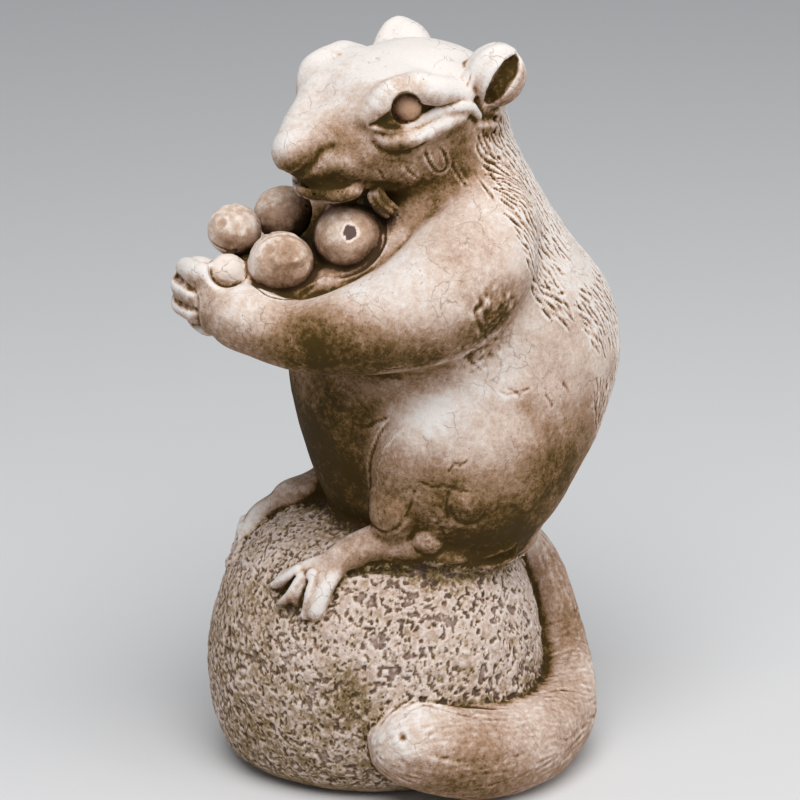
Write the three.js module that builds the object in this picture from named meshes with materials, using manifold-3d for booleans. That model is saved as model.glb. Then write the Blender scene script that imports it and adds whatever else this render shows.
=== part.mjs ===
// Chipmunk garden statue: a cast-stone chipmunk that sits on a boulder and hugs a heap of nuts.
// Millimetres, +Z up. The origin lies on the boulder's flat underside, near its middle.
// The animal faces -Y, so its left side is +X and its tail curls round the boulder's left side.

import * as THREE from "three";
import { mergeVertices } from "three/addons/utils/BufferGeometryUtils.js";
import Module from "manifold-3d";

const wasm = await Module();
wasm.setup();

// Driving dimensions

// Clear space kept between two pieces that seat on each other
const SEAT_GAP = 0.3;

// Boulder: overall width across X, length along Y and height, and where its middle lies along Y
const BOULDER_WIDTH = 98;
const BOULDER_LENGTH = 108;
const BOULDER_HEIGHT = 77;
const BOULDER_SLOPE = 3.5; // height that the top loses towards the left side, and gains towards the right
const BOULDER_Y = -7.5;

// Figure: how deep its seat sinks into the boulder, and the line of its spine along Y
const SEAT_SINK = 6;
const SPINE_Y = 18;

// Haunch: half sizes of the thigh, and where its middle lies from the spine and above the seat
const HAUNCH_HALF_WIDTH = 20;
const HAUNCH_HALF_LENGTH = 31;
const HAUNCH_HALF_HEIGHT = 34;
const HAUNCH_X = 28;
const HAUNCH_Y = 13;
const HAUNCH_Z = 32;
const KNUCKLE_RADIUS = 7.5;

// Arms: radii of the limb from the shoulder to the wrist, and the palm and fingers at its end
const SHOULDER_RADIUS = 19.5;
const ELBOW_RADIUS = 18;
const FOREARM_RADIUS = 10.5;
const WRIST_RADIUS = 9;
const FINGER_RADIUS = 3.5;
const FINGER_LAP = 1.5; // how far the right fingers stand out over the left ones
const LAST_FINGER_DRAW = 5; // how far the lowest of them draws back
const PALM_HALF_SIZES = [9.5, 7.5, 10.5];

// Head: the turn of the head on the neck in degrees, and the sizes of what sits on the skull
const HEAD_YAW = 12.5;
const HEAD_ROLL = 3;
const HEAD_PITCH = 1;
const HEAD_Z = 129;
const HEAD_Y = 5;
const NOSE_RADIUS = 8;
const BROW_RADIUS = 4.4;
const CHEEK_RADIUS = 2.8;
const EYE_RADIUS = 5.6;
const EAR_RADIUS = 9.2;
const EAR_WALL = 2.6;
const RIGHT_EAR_DROP = 3; // how much lower the right ear sits on the skull
const SOCKET_HALF_SIZES = [6, 8.5, 4.6];
const JAW_HALF_SIZES = [10.5, 15, 6.5];

// Nuts: the two nearest the chest are the largest, and the one in the palms is the smallest
const LARGE_NUT_RADIUS = 10.3;
const SMALL_NUT_RADIUS = 8.5;
const PALM_NUT_RADIUS = 5.2;
const NUT_GAP = 0.5;
const BED_HALF_SIZES = [24, 26, 15.5];

// Feet and tail
const ANKLE_RADIUS = 7;
const TOE_RADIUS = 2.8;
const RIGHT_FOOT_SPREAD = 0.9; // the right toes' bearings, as a share of the left ones'
const TAIL_ROOT_RADIUS = 7.5;
const TAIL_END_RADIUS = 14.5;

// Largest pits of the boulder: their spacing, radius and depth, and where their lowest and highest rows run
const PIT_SPACING = 15;
const PIT_RADIUS = 3;
const PIT_DEPTH = 1.4;
const PIT_LOWEST = 11;
const PIT_TOP_DROP = 8;

// Deepest gouges of the fur: spacing, half sizes across, along and into it, the band above the seat that they
// fill, and how far the band reaches round each side of the spine at its bottom and its top, in degrees
const GOUGE_SPACING = 12;
const GOUGE_HALF_SIZES = [1.3, 4.4, 1.2];
const FUR_LOWEST = 38;
const FUR_TOP_DROP = 8;
const FUR_LOW_SPREAD = 40;
const FUR_HIGH_SPREAD = 68;

// Facets round and along the pieces
const LOFT_SIDES = 24;
const LIMB_SIDES = 16;
const DIGIT_SIDES = 7;
const BALL_SIDES = 14;

const SEAT_Z = BOULDER_HEIGHT - SEAT_SINK;
const X_AXIS = new THREE.Vector3(1, 0, 0);
const Y_AXIS = new THREE.Vector3(0, 1, 0);
const Z_AXIS = new THREE.Vector3(0, 0, 1);
const NO_TURN = new THREE.Quaternion();

// Solids

// A closed solid from a geometry, with its faces turned outwards.
function solidOf(geometry) {
  const bare = geometry.clone();
  bare.deleteAttribute("normal");
  bare.deleteAttribute("uv");
  const merged = mergeVertices(bare, 1e-4);
  const triVerts = new Uint32Array(merged.index.array);
  const vertProperties = merged.attributes.position.array;
  const solid = new wasm.Manifold(new wasm.Mesh({ numProp: 3, vertProperties, triVerts }));
  if (solid.volume() > 0) return solid;
  for (let i = 0; i < triVerts.length; i += 3) {
    [triVerts[i + 1], triVerts[i + 2]] = [triVerts[i + 2], triVerts[i + 1]];
  }
  return new wasm.Manifold(new wasm.Mesh({ numProp: 3, vertProperties, triVerts }));
}

function geometryOf(solid) {
  const mesh = solid.getMesh();
  const geometry = new THREE.BufferGeometry();
  geometry.setAttribute("position", new THREE.BufferAttribute(mesh.vertProperties, 3));
  geometry.setIndex(new THREE.BufferAttribute(mesh.triVerts, 1));
  geometry.computeVertexNormals();
  return geometry;
}

function join(...solids) {
  return solids.reduce((whole, next) => whole.add(next));
}

function cut(solid, ...tools) {
  return tools.reduce((left, tool) => left.subtract(tool), solid);
}

// The skin over a stack of rings with equal point counts, closed at both ends.
function skin(rings) {
  const sides = rings[0].length;
  const points = rings.flat();
  const index = [];
  for (let r = 0; r + 1 < rings.length; r++) {
    for (let s = 0; s < sides; s++) {
      const a = r * sides + s;
      const b = r * sides + ((s + 1) % sides);
      index.push(a, b, b + sides, a, b + sides, a + sides);
    }
  }
  const middle = (ring) => ring.reduce((sum, p) => sum.add(p), new THREE.Vector3()).divideScalar(sides);
  const last = (rings.length - 1) * sides;
  points.push(middle(rings[0]), middle(rings.at(-1)));
  for (let s = 0; s < sides; s++) {
    const next = (s + 1) % sides;
    index.push(points.length - 2, next, s, points.length - 1, last + s, last + next);
  }
  const geometry = new THREE.BufferGeometry().setFromPoints(points);
  geometry.setIndex(index);
  return solidOf(geometry);
}

// A smooth reading of one number from each station of a list, at t from 0 to 1.
function reader(stations, pick) {
  const curve = new THREE.CatmullRomCurve3(
    stations.map((station, i) => new THREE.Vector3(i, pick(station), 0)),
    false,
    "catmullrom",
    0.5,
  );
  return (t) => curve.getPoint(t).y;
}

// The skin of a body lofted over stations along one axis, at an angle in degrees and a share of its length.
// Each station has its place along that axis, the middle of its section, and how far the section reaches to
// the side, to the plus side and to the minus side of the middle. A fullness above 1 squares the section off.
function loftSkin(stations, { along, side, plus, fullness = 1 }, grow = 0) {
  const place = reader(stations, (s) => s.at);
  const middle = reader(stations, (s) => s.middle);
  const half = reader(stations, (s) => s.half);
  const high = reader(stations, (s) => s.high);
  const low = reader(stations, (s) => s.low);
  const squared = (share) => Math.sign(share) * Math.abs(share) ** (1 / fullness);
  return (bearing, t, push = 0) => {
    const angle = THREE.MathUtils.degToRad(bearing);
    const reach = Math.sin(angle) > 0 ? high(t) : low(t);
    return along
      .clone()
      .multiplyScalar(place(t) + push)
      .addScaledVector(plus, middle(t))
      .addScaledVector(side, (half(t) + grow) * squared(Math.cos(angle)))
      .addScaledVector(plus, (reach + grow) * squared(Math.sin(angle)));
  };
}

// The closed body within such a skin.
function loft(stations, axes, rings, grow = 0) {
  const point = loftSkin(stations, axes, grow);
  const way = Math.sign(stations.at(-1).at - stations[0].at);
  const made = [];
  for (let r = 0; r <= rings; r++) {
    const end = (r === 0 ? -1 : r === rings ? 1 : 0) * way;
    const ring = [];
    for (let s = 0; s < LOFT_SIDES; s++) {
      ring.push(point((360 * (s + 0.5)) / LOFT_SIDES, r / rings, end * grow));
    }
    made.push(ring);
  }
  return skin(made);
}

// A round limb along stations, each with a point and a radius, and with a dome on both ends.
function limb(stations, steps, sides, grow = 0) {
  const curve = new THREE.CatmullRomCurve3(stations.map((s) => s.at));
  const radius = reader(stations, (s) => s.radius);
  const frames = curve.computeFrenetFrames(steps);
  const made = [];
  const ring = (i, centre, r) => {
    const points = [];
    for (let s = 0; s < sides; s++) {
      const angle = (2 * Math.PI * s) / sides;
      points.push(
        centre
          .clone()
          .addScaledVector(frames.normals[i], r * Math.cos(angle))
          .addScaledVector(frames.binormals[i], r * Math.sin(angle)),
      );
    }
    made.push(points);
  };
  const domeSteps = sides > DIGIT_SIDES ? [0.15, 0.45, 0.75] : [0.3, 0.7];
  const dome = (i, way, shares) => {
    const r = radius(i / steps) + grow;
    const end = curve.getPointAt(i / steps);
    shares.forEach((share) => {
      const turn = (share * Math.PI) / 2;
      const centre = end.clone().addScaledVector(frames.tangents[i], way * r * Math.cos(turn));
      ring(i, centre, r * Math.sin(turn));
    });
  };
  dome(0, -1, domeSteps);
  for (let i = 0; i <= steps; i++) {
    const u = i / steps;
    const t = curve.getUtoTmapping(u);
    ring(i, curve.getPoint(t), radius(t) + grow);
  }
  dome(steps, 1, [...domeSteps].reverse());
  return skin(made);
}

// An ellipsoid about a point, turned by a rotation.
function ball(centre, halfSizes, grow = 0, turn = NO_TURN, sides = BALL_SIDES) {
  const size = new THREE.Vector3(...halfSizes).addScalar(grow);
  const geometry = new THREE.SphereGeometry(1, sides, Math.round(sides * 0.6));
  return solidOf(geometry.applyMatrix4(new THREE.Matrix4().compose(centre, turn, size)));
}

// The share from 0 to 1 at which a rising function reaches a value.
function shareWhere(rising, value) {
  let low = 0;
  let high = 1;
  for (let i = 0; i < 24; i++) {
    const middle = (low + high) / 2;
    if (rising(middle) < value) low = middle;
    else high = middle;
  }
  return low;
}

// A steady number from -1 to 1 for each index, which keeps a pattern from looking ruled.
function scatter(index, kind) {
  const turn = 43758.5453 * Math.sin(12.9898 * index + 78.233 * kind);
  return 2 * (turn - Math.floor(turn)) - 1;
}

// The frame of a skin at a bearing and a share: round it, along it and out of it.
function patch(surface, bearing, share) {
  const round = surface(bearing + 1, share).sub(surface(bearing - 1, share));
  const along = surface(bearing, share + 0.01).sub(surface(bearing, share - 0.01)).normalize();
  const out = round.cross(along).normalize();
  const across = along.clone().cross(out);
  return new THREE.Matrix4().makeBasis(across, along, out).setPosition(surface(bearing, share));
}

// A dent's tool set on a skin, turned about the way out of it.
function dent(geometry, frame, degrees) {
  const turn = new THREE.Matrix4().makeRotationZ(THREE.MathUtils.degToRad(degrees));
  return solidOf(geometry.applyMatrix4(turn).applyMatrix4(frame));
}

// The tools that stay clear of what covers the skin, as one.
const openDents = (tools, cover) => join(...tools.filter((tool) => tool.intersect(cover).isEmpty()));

const at = (x, y, z) => new THREE.Vector3(x, y, z);
const onSeat = (x, y, z) => at(x, y, SEAT_Z + z);

// Boulder: a loaf-shaped stone with a flat underside and a few broad swells.

// Its outline, in shares of its half width and its height
const boulderOutline = new THREE.SplineCurve(
  [
    [0.74, 0],
    [0.87, 0.04],
    [0.965, 0.17],
    [1, 0.36],
    [0.98, 0.55],
    [0.905, 0.73],
    [0.775, 0.87],
    [0.56, 0.965],
    [0.3, 0.998],
    [0.02, 1],
  ].map(([x, y]) => new THREE.Vector2(x, y)),
);

// A point at a bearing from +X and a share of the boulder's outline, lifted off its skin along the normal.
function boulderPoint(bearing, share, lift = 0) {
  const a = THREE.MathUtils.degToRad(bearing);
  const swell = 1 + 0.025 * Math.sin(2 * a + 2) + 0.02 * Math.sin(3 * a + 0.6);
  const outline = boulderOutline.getPoint(share);
  const slope = boulderOutline.getTangent(share);
  const height = BOULDER_HEIGHT - BOULDER_SLOPE * Math.cos(a) * outline.x;
  const out = new THREE.Vector2(slope.y * BOULDER_HEIGHT, (-slope.x * BOULDER_LENGTH) / 2).normalize();
  const reach = outline.x * swell;
  return at(
    Math.cos(a) * ((reach * BOULDER_WIDTH) / 2 + out.x * lift),
    BOULDER_Y + Math.sin(a) * ((reach * BOULDER_LENGTH) / 2 + out.x * lift),
    outline.y * height + out.y * lift,
  );
}

// The share of the outline at which the boulder reaches a height.
const shareAt = (height) => shareWhere((share) => boulderOutline.getPoint(share).y * BOULDER_HEIGHT, height);
const onBoulder = (bearing, height, lift) => boulderPoint(bearing, shareAt(height), lift);

function boulder(grow = 0) {
  const rings = [];
  const rows = 14;
  for (let r = 0; r <= rows; r++) {
    const ring = [];
    for (let s = 0; s < LOFT_SIDES + 8; s++) {
      const point = boulderPoint((360 * s) / (LOFT_SIDES + 8), r / rows, grow);
      if (r === 0) point.z = -grow;
      ring.push(point);
    }
    rings.push(ring);
  }
  return skin(rings);
}

// Pits: flat-bottomed hollows that the weather has eaten into the boulder, in staggered rows.
function boulderPits() {
  const tools = [];
  const rows = Math.round((BOULDER_HEIGHT - PIT_TOP_DROP - PIT_LOWEST) / PIT_SPACING);
  for (let row = 0; row <= rows; row++) {
    const height = PIT_LOWEST + ((BOULDER_HEIGHT - PIT_TOP_DROP - PIT_LOWEST) * row) / rows;
    const across = (boulderOutline.getPoint(shareAt(height)).x * (BOULDER_WIDTH + BOULDER_LENGTH)) / 2;
    const count = Math.floor((Math.PI * across) / PIT_SPACING);
    for (let i = 0; i < count; i++) {
      const index = tools.length;
      const bearing = (360 * (i + row / 2 + 0.25 * scatter(index, 1))) / count;
      const share = shareAt(height + 0.2 * PIT_SPACING * scatter(index, 2));
      const radius = PIT_RADIUS * (1 + 0.25 * scatter(index, 3));
      const hollow = new THREE.CylinderGeometry(radius * 1.3, radius * 0.7, 2 * PIT_DEPTH, 6)
        .rotateX(Math.PI / 2)
        .scale(1.2 + 0.3 * scatter(index, 4), 1, 1);
      tools.push(dent(hollow, patch(boulderPoint, bearing, share), 90 * scatter(index, 5)));
    }
  }
  return tools;
}

// Torso: a pear-shaped trunk from the seat to the nape, leaning back over its haunches.
const TORSO_AXES = { along: Z_AXIS, side: X_AXIS, plus: Y_AXIS };
const torsoStations = [
  { at: 0, front: -13, back: 42, half: 31 },
  { at: 12, front: -23, back: 52, half: 38 },
  { at: 28, front: -29, back: 63, half: 42 },
  { at: 44, front: -33, back: 69.5, half: 44 },
  { at: 56, front: -34, back: 71.5, half: 44 },
  { at: 66, front: -32, back: 70, half: 43 },
  { at: 77, front: -26, back: 65.5, half: 41 },
  { at: 92, front: -16, back: 53, half: 36 },
  { at: HEAD_Z - 18, front: -9, back: 41, half: 29 },
  { at: HEAD_Z - 3, front: -4, back: 33, half: 22.5 },
  { at: HEAD_Z + 7, front: 5, back: 27, half: 14 },
].map((s) => ({
  at: SEAT_Z + s.at,
  middle: SPINE_Y,
  half: s.half,
  high: s.back - SPINE_Y,
  low: SPINE_Y - s.front,
}));
const torso = (grow = 0) => loft(torsoStations, TORSO_AXES, 21, grow);

// Gouges: the deepest cuts of the fur, which runs down from the nape over the back.
function furGouges() {
  const tools = [];
  const surface = loftSkin(torsoStations, TORSO_AXES);
  const rows = Math.round((HEAD_Z - FUR_TOP_DROP - FUR_LOWEST) / GOUGE_SPACING);
  for (let row = 0; row <= rows; row++) {
    const height = SEAT_Z + FUR_LOWEST + ((HEAD_Z - FUR_TOP_DROP - FUR_LOWEST) * row) / rows;
    const share = shareWhere((t) => surface(0, t).z, height);
    const spread = THREE.MathUtils.lerp(FUR_LOW_SPREAD, FUR_HIGH_SPREAD, row / rows);
    const reach = surface(90, share).y - SPINE_Y;
    const count = Math.round((reach * THREE.MathUtils.degToRad(2 * spread)) / GOUGE_SPACING);
    for (let i = 0; i < count; i++) {
      const index = tools.length;
      const bearing = 90 + spread * ((2 * (i + 0.5 + 0.25 * (-1) ** row)) / count - 1);
      const gouge = new THREE.OctahedronGeometry(1).scale(...GOUGE_HALF_SIZES);
      tools.push(dent(gouge, patch(surface, bearing, share), 18 * scatter(index, 6)));
    }
  }
  return tools;
}

const haunchPlace = (hand) => onSeat(hand * HAUNCH_X, HAUNCH_Y, HAUNCH_Z);

// Haunch: one thigh, with the knuckles of the folded leg along its lower edge. Left is 1 and right is -1.
function haunch(hand, grow = 0) {
  const thigh = ball(
    haunchPlace(hand),
    [HAUNCH_HALF_WIDTH, HAUNCH_HALF_LENGTH, HAUNCH_HALF_HEIGHT],
    grow,
    NO_TURN,
    20,
  );
  const kneeY = hand > 0 ? -15.5 : -9;
  const knuckles = [onSeat(hand * 29, kneeY, 15.5), onSeat(hand * 36, 13, 15)].map((centre) =>
    ball(centre, [KNUCKLE_RADIUS, KNUCKLE_RADIUS, KNUCKLE_RADIUS], grow, NO_TURN, 12),
  );
  return join(thigh, ...knuckles);
}

// Arm: one limb from the shoulder round the heap of nuts to the wrist.
function arm(hand, grow = 0) {
  const stations = [
    { at: onSeat(hand * 27, 15, 101), radius: SHOULDER_RADIUS - 3 },
    { at: onSeat(hand * 32, 8, 92), radius: SHOULDER_RADIUS },
    { at: onSeat(hand * 36, -8, 82.5), radius: ELBOW_RADIUS },
    { at: onSeat(hand * 33, -27, 77), radius: (ELBOW_RADIUS + FOREARM_RADIUS) / 2 },
    { at: onSeat(hand * 24, -45, 74.5), radius: FOREARM_RADIUS },
    { at: onSeat(hand * 13, -59, 79), radius: WRIST_RADIUS },
  ];
  return limb(stations, 15, LIMB_SIDES, grow);
}

const pawPlace = (hand) => onSeat(hand * 5, -63, 83);

// Paw: the palm at the end of an arm and its fingers. The left fingers close first, with the right ones over.
function paw(hand, grow = 0) {
  const palm = ball(pawPlace(hand), PALM_HALF_SIZES, grow, NO_TURN, 14);
  const rises = hand > 0 ? [8, 1.5] : [2.5, -3.3, -8.6];
  const fingers = rises.map((rise, i) => {
    const over = (hand > 0 ? 0 : FINGER_LAP) - (i === 2 ? LAST_FINGER_DRAW : 0);
    const stations = [
      { at: onSeat(hand * 11, -62 - over / 2, 83 + rise), radius: FINGER_RADIUS },
      { at: onSeat(hand * 5, -68 - over, 83.5 + rise), radius: FINGER_RADIUS },
      { at: onSeat(hand * -4.5, -68 - over, 83 + rise), radius: FINGER_RADIUS * 0.9 },
    ];
    return limb(stations, 5, DIGIT_SIDES, grow);
  });
  return join(palm, ...fingers);
}

// Head: skull and muzzle, a brow over each eye and the pale stripe under it, in a frame turned on the neck.
const headTurn = new THREE.Quaternion().setFromEuler(
  new THREE.Euler(
    THREE.MathUtils.degToRad(HEAD_PITCH),
    THREE.MathUtils.degToRad(HEAD_ROLL),
    THREE.MathUtils.degToRad(HEAD_YAW),
    "ZYX",
  ),
);
const headCentre = onSeat(2, HEAD_Y, HEAD_Z);
const headPlace = new THREE.Matrix4().compose(headCentre, headTurn, at(1, 1, 1));
const onHead = (x, y, z) => at(x, y, z).applyMatrix4(headPlace);

const SKULL_AXES = { along: Y_AXIS, side: X_AXIS, plus: Z_AXIS, fullness: 1.25 };

function skull(grow = 0) {
  const stations = [
    { at: 25, middle: 0, half: 8, high: 10, low: 14 },
    { at: 21, middle: 0, half: 15, high: 17, low: 20 },
    { at: 12, middle: 0, half: 21.5, high: 22.5, low: 24 },
    { at: 3, middle: 0, half: 24.5, high: 24.5, low: 23 },
    { at: -9, middle: 0, half: 24, high: 24, low: 21 },
    { at: -19, middle: 0, half: 22, high: 21, low: 18 },
    { at: -28, middle: 0, half: 19, high: 16.5, low: 14.5 },
    { at: -36, middle: 0, half: 15, high: 11.5, low: 12 },
    { at: -43, middle: -0.5, half: 10.5, high: 8, low: 9.5 },
    { at: -48.5, middle: -1.5, half: 6, high: 5.5, low: 6 },
  ];
  return loft(stations, SKULL_AXES, 18, grow).transform(headPlace.elements);
}

function brow(hand, grow = 0) {
  const stations = [
    { at: onHead(hand * 17, -31, 8.5), radius: BROW_RADIUS * 0.5 },
    { at: onHead(hand * 18.5, -25, 16), radius: BROW_RADIUS },
    { at: onHead(hand * 20.5, -13, 17), radius: BROW_RADIUS },
    { at: onHead(hand * 23.5, -1, 13.5), radius: BROW_RADIUS * 0.7 },
  ];
  return limb(stations, 8, DIGIT_SIDES - 1, grow);
}

function cheek(hand, grow = 0) {
  const stations = [
    { at: onHead(hand * 18, -29.5, 6), radius: CHEEK_RADIUS * 0.6 },
    { at: onHead(hand * 20.5, -22.5, 3), radius: CHEEK_RADIUS },
    { at: onHead(hand * 23, -13, 5.5), radius: CHEEK_RADIUS },
    { at: onHead(hand * 24.5, -2, 9.5), radius: CHEEK_RADIUS * 0.8 },
  ];
  return limb(stations, 8, DIGIT_SIDES - 1, grow);
}

const eyePlace = (hand) => onHead(hand * 17.5, -18, 10.2);

function eye(hand, grow = 0) {
  return ball(eyePlace(hand), [EYE_RADIUS, EYE_RADIUS, EYE_RADIUS], grow, headTurn, 12);
}

function socket(hand) {
  return ball(onHead(hand * 23, -19, 10.2), SOCKET_HALF_SIZES, 0, headTurn, 12);
}

function head(grow = 0) {
  const nose = ball(onHead(0, -44.5, -1.5), [NOSE_RADIUS, NOSE_RADIUS, NOSE_RADIUS], grow, headTurn, 14);
  const solid = join(skull(grow), nose, ...[1, -1].flatMap((h) => [brow(h, grow), cheek(h, grow)]));
  return grow > 0 ? solid : cut(solid, socket(1), socket(-1));
}

const jawPlace = onHead(0, -29, -13);

function jaw(grow = 0) {
  return ball(jawPlace, JAW_HALF_SIZES, grow, headTurn, 16);
}

const earPlace = (hand) => onHead(hand * 22.5, 11, hand > 0 ? 18 : 18 - RIGHT_EAR_DROP);

// Ear: a round cup, open to the side and a little to the rear.
function ear(hand) {
  const centre = earPlace(hand);
  const open = at(hand * 0.85, 0.5, 0.1).normalize().applyQuaternion(headTurn);
  const cup = ball(centre, [EAR_RADIUS * 0.85, EAR_RADIUS, EAR_RADIUS * 1.05], 0, headTurn, 14);
  const hollowSize = EAR_RADIUS - EAR_WALL;
  const hollow = ball(
    centre.clone().addScaledVector(open, EAR_RADIUS * 0.55),
    [hollowSize, hollowSize, hollowSize * 1.1],
    0,
    headTurn,
    12,
  );
  return cut(cup, hollow);
}

// Nuts: each lies against the nut that it leans on.
function lean(from, x, y, z, radius) {
  const away = at(x, y, z).normalize();
  return { centre: from.centre.clone().addScaledVector(away, from.radius + radius + NUT_GAP), radius };
}
const chestNut = { centre: onSeat(14, -23.5, 99), radius: LARGE_NUT_RADIUS };
const middleNut = lean(chestNut, -4, -19, -6, LARGE_NUT_RADIUS);
const frontNut = lean(middleNut, -17, -8.8, 7.6, SMALL_NUT_RADIUS);
const innerNut = lean(frontNut, -3, 19, 2.8, SMALL_NUT_RADIUS);
const palmNut = lean(frontNut, 8.5, -5.7, -9.4, PALM_NUT_RADIUS);
const heapOfNuts = [chestNut, middleNut, frontNut, innerNut, palmNut];
const nut = ({ centre, radius }, grow = 0) => ball(centre, [radius, radius, radius], grow);
const nuts = (grow) => join(...heapOfNuts.map((one) => nut(one, grow)));

const bedPlace = onSeat(-4, -36, 80);

// Bed: the stone that fills the hug under the nuts, between the arms and the chest.
function bed() {
  return ball(bedPlace, BED_HALF_SIZES, 0, NO_TURN, 16);
}

// Foot: the lower leg and its toes, which lie over the boulder's shoulder.
function foot(hand, grow = 0) {
  const rise = hand > 0 ? 0 : 1;
  const bearing = (degrees) => (hand > 0 ? degrees : 180 - RIGHT_FOOT_SPREAD * degrees);
  const over = (degrees, drop, lift) => onBoulder(bearing(degrees), BOULDER_HEIGHT - drop + rise, lift);
  const leg = [
    { at: over(-8, 1.8, 4), radius: ANKLE_RADIUS },
    { at: over(-28, 2.2, 4), radius: ANKLE_RADIUS * 0.8 },
    { at: over(-42, 4.5, 3), radius: ANKLE_RADIUS * 0.7 },
  ];
  const toes = [-47, -56, -65].map((spread, i) => {
    const drop = [15.5, 13, 10][i];
    const stations = [
      { at: over(-41 - i * 2, 4.5, 3), radius: TOE_RADIUS },
      { at: over((spread - 41 - i * 2) / 2, (4.5 + drop) / 2, 3.2), radius: TOE_RADIUS },
      { at: over(spread, drop, 1.5), radius: TOE_RADIUS },
    ];
    return limb(stations, 5, DIGIT_SIDES, grow);
  });
  return join(limb(leg, 6, 10, grow), ...toes);
}

const tailRoot = (lift) => onBoulder(88, BOULDER_HEIGHT - 9, lift);

// Tail: from the seat down the boulder's back and round its left side to a blunt tip.
function tail(grow = 0) {
  const stations = [
    { at: tailRoot(3), radius: TAIL_ROOT_RADIUS },
    { at: onBoulder(86, BOULDER_HEIGHT - 27, 6), radius: TAIL_ROOT_RADIUS },
    { at: onBoulder(78, BOULDER_HEIGHT - 44, 6.5), radius: TAIL_ROOT_RADIUS * 1.15 },
    { at: onBoulder(60, TAIL_END_RADIUS + 3.5, 7), radius: TAIL_END_RADIUS * 0.8 },
    { at: onBoulder(35, TAIL_END_RADIUS - 0.5, 4), radius: TAIL_END_RADIUS * 0.97 },
    { at: onBoulder(8, TAIL_END_RADIUS + 2, 2), radius: TAIL_END_RADIUS },
    { at: onBoulder(-12, TAIL_END_RADIUS + 7.5, 1), radius: TAIL_END_RADIUS * 0.9 },
  ];
  const floor = new THREE.BoxGeometry(400, 400, 100).translate(0, 0, -50 - grow);
  return limb(stations, 22, LIMB_SIDES, grow).subtract(solidOf(floor));
}

// Assembly: each piece is cut to the seat that its neighbours leave it.

const castStone = new THREE.MeshStandardMaterial({ color: 0xb79c84, roughness: 0.82, metalness: 0 });
const pittedStone = new THREE.MeshStandardMaterial({ color: 0x9c856b, roughness: 0.92, metalness: 0 });
const nutStone = new THREE.MeshStandardMaterial({ color: 0xa88a70, roughness: 0.78, metalness: 0 });
const eyeStone = new THREE.MeshStandardMaterial({ color: 0x94704f, roughness: 0.65, metalness: 0 });

// A named mesh whose own origin is its place on the statue.
function piece(name, solid, material, place) {
  const geometry = geometryOf(solid).translate(-place.x, -place.y, -place.z);
  const mesh = new THREE.Mesh(geometry, material);
  mesh.name = name;
  mesh.position.copy(place);
  return mesh;
}

const handed = (side) => [
  { hand: 1, word: "left" },
  { hand: -1, word: "right" },
].map(({ hand, word }) => side(hand, word));

const statue = new THREE.Group();
const stone = boulder(SEAT_GAP);
const haunches = join(haunch(1, SEAT_GAP), haunch(-1, SEAT_GAP));
const trunk = torso(SEAT_GAP);
const heap = nuts(SEAT_GAP);
const grownHead = head(SEAT_GAP);

const arms = join(arm(1, SEAT_GAP), arm(-1, SEAT_GAP));
const onTheBoulder = join(tail(SEAT_GAP), foot(1, SEAT_GAP), foot(-1, SEAT_GAP), haunches, trunk);
const onTheTorso = join(arms, haunches, grownHead);

const pitted = cut(boulder(), openDents(boulderPits(), onTheBoulder));
statue.add(piece("boulder", pitted, pittedStone, at(0, 0, 0)));
const furry = cut(torso(), stone, haunches, heap, openDents(furGouges(), onTheTorso));
statue.add(piece("torso", furry, castStone, onSeat(0, SPINE_Y, 0)));
statue.add(piece("tail", cut(tail(), stone, trunk, haunches), castStone, tailRoot(0)));

handed((hand, word) => {
  statue.add(piece(word + "_haunch", cut(haunch(hand), stone), castStone, haunchPlace(hand)));
  const limbCut = cut(arm(hand), trunk, haunches, heap, grownHead);
  statue.add(piece(word + "_arm", limbCut, castStone, onSeat(hand * 33, 7, 92)));
  const footCut = cut(foot(hand), stone, trunk, haunches);
  statue.add(piece(word + "_foot", footCut, castStone, onBoulder(90 - hand * 120, BOULDER_HEIGHT - 9, 0)));
});

statue.add(piece("left_paw", cut(paw(1), arms, heap), castStone, pawPlace(1)));
statue.add(piece("right_paw", cut(paw(-1), arms, heap, paw(1, SEAT_GAP)), castStone, pawPlace(-1)));

const paws = join(paw(1, SEAT_GAP), paw(-1, SEAT_GAP));
statue.add(piece("nut_bed", cut(bed(), trunk, arms, paws, heap), castStone, bedPlace));

const eyes = join(eye(1, SEAT_GAP), eye(-1, SEAT_GAP));
statue.add(piece("head", cut(head(), trunk, heap, eyes), castStone, headCentre));
statue.add(piece("lower_jaw", cut(jaw(), grownHead, heap, trunk), castStone, jawPlace));
handed((hand, word) => {
  statue.add(piece(word + "_ear", cut(ear(hand), grownHead), castStone, earPlace(hand)));
  statue.add(piece(word + "_eye", eye(hand), eyeStone, eyePlace(hand)));
});
heapOfNuts.forEach((one, i) => statue.add(piece("nut_" + (i + 1), nut(one), nutStone, one.centre)));

export default statue;
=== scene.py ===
"""The looks of a cast stone chipmunk that sits on a pitted boulder with its paws full of nuts.

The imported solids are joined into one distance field, so that creases and fillets run across them as they
do in one casting. The surface of that field is carved with the fur, folds, cracks and pits of the statue,
and then cut back into one piece for each node. Lengths here are in millimetres unless a name says otherwise.
"""

import math

import bpy
import numpy as np
import openvdb
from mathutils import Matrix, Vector, kdtree

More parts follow.
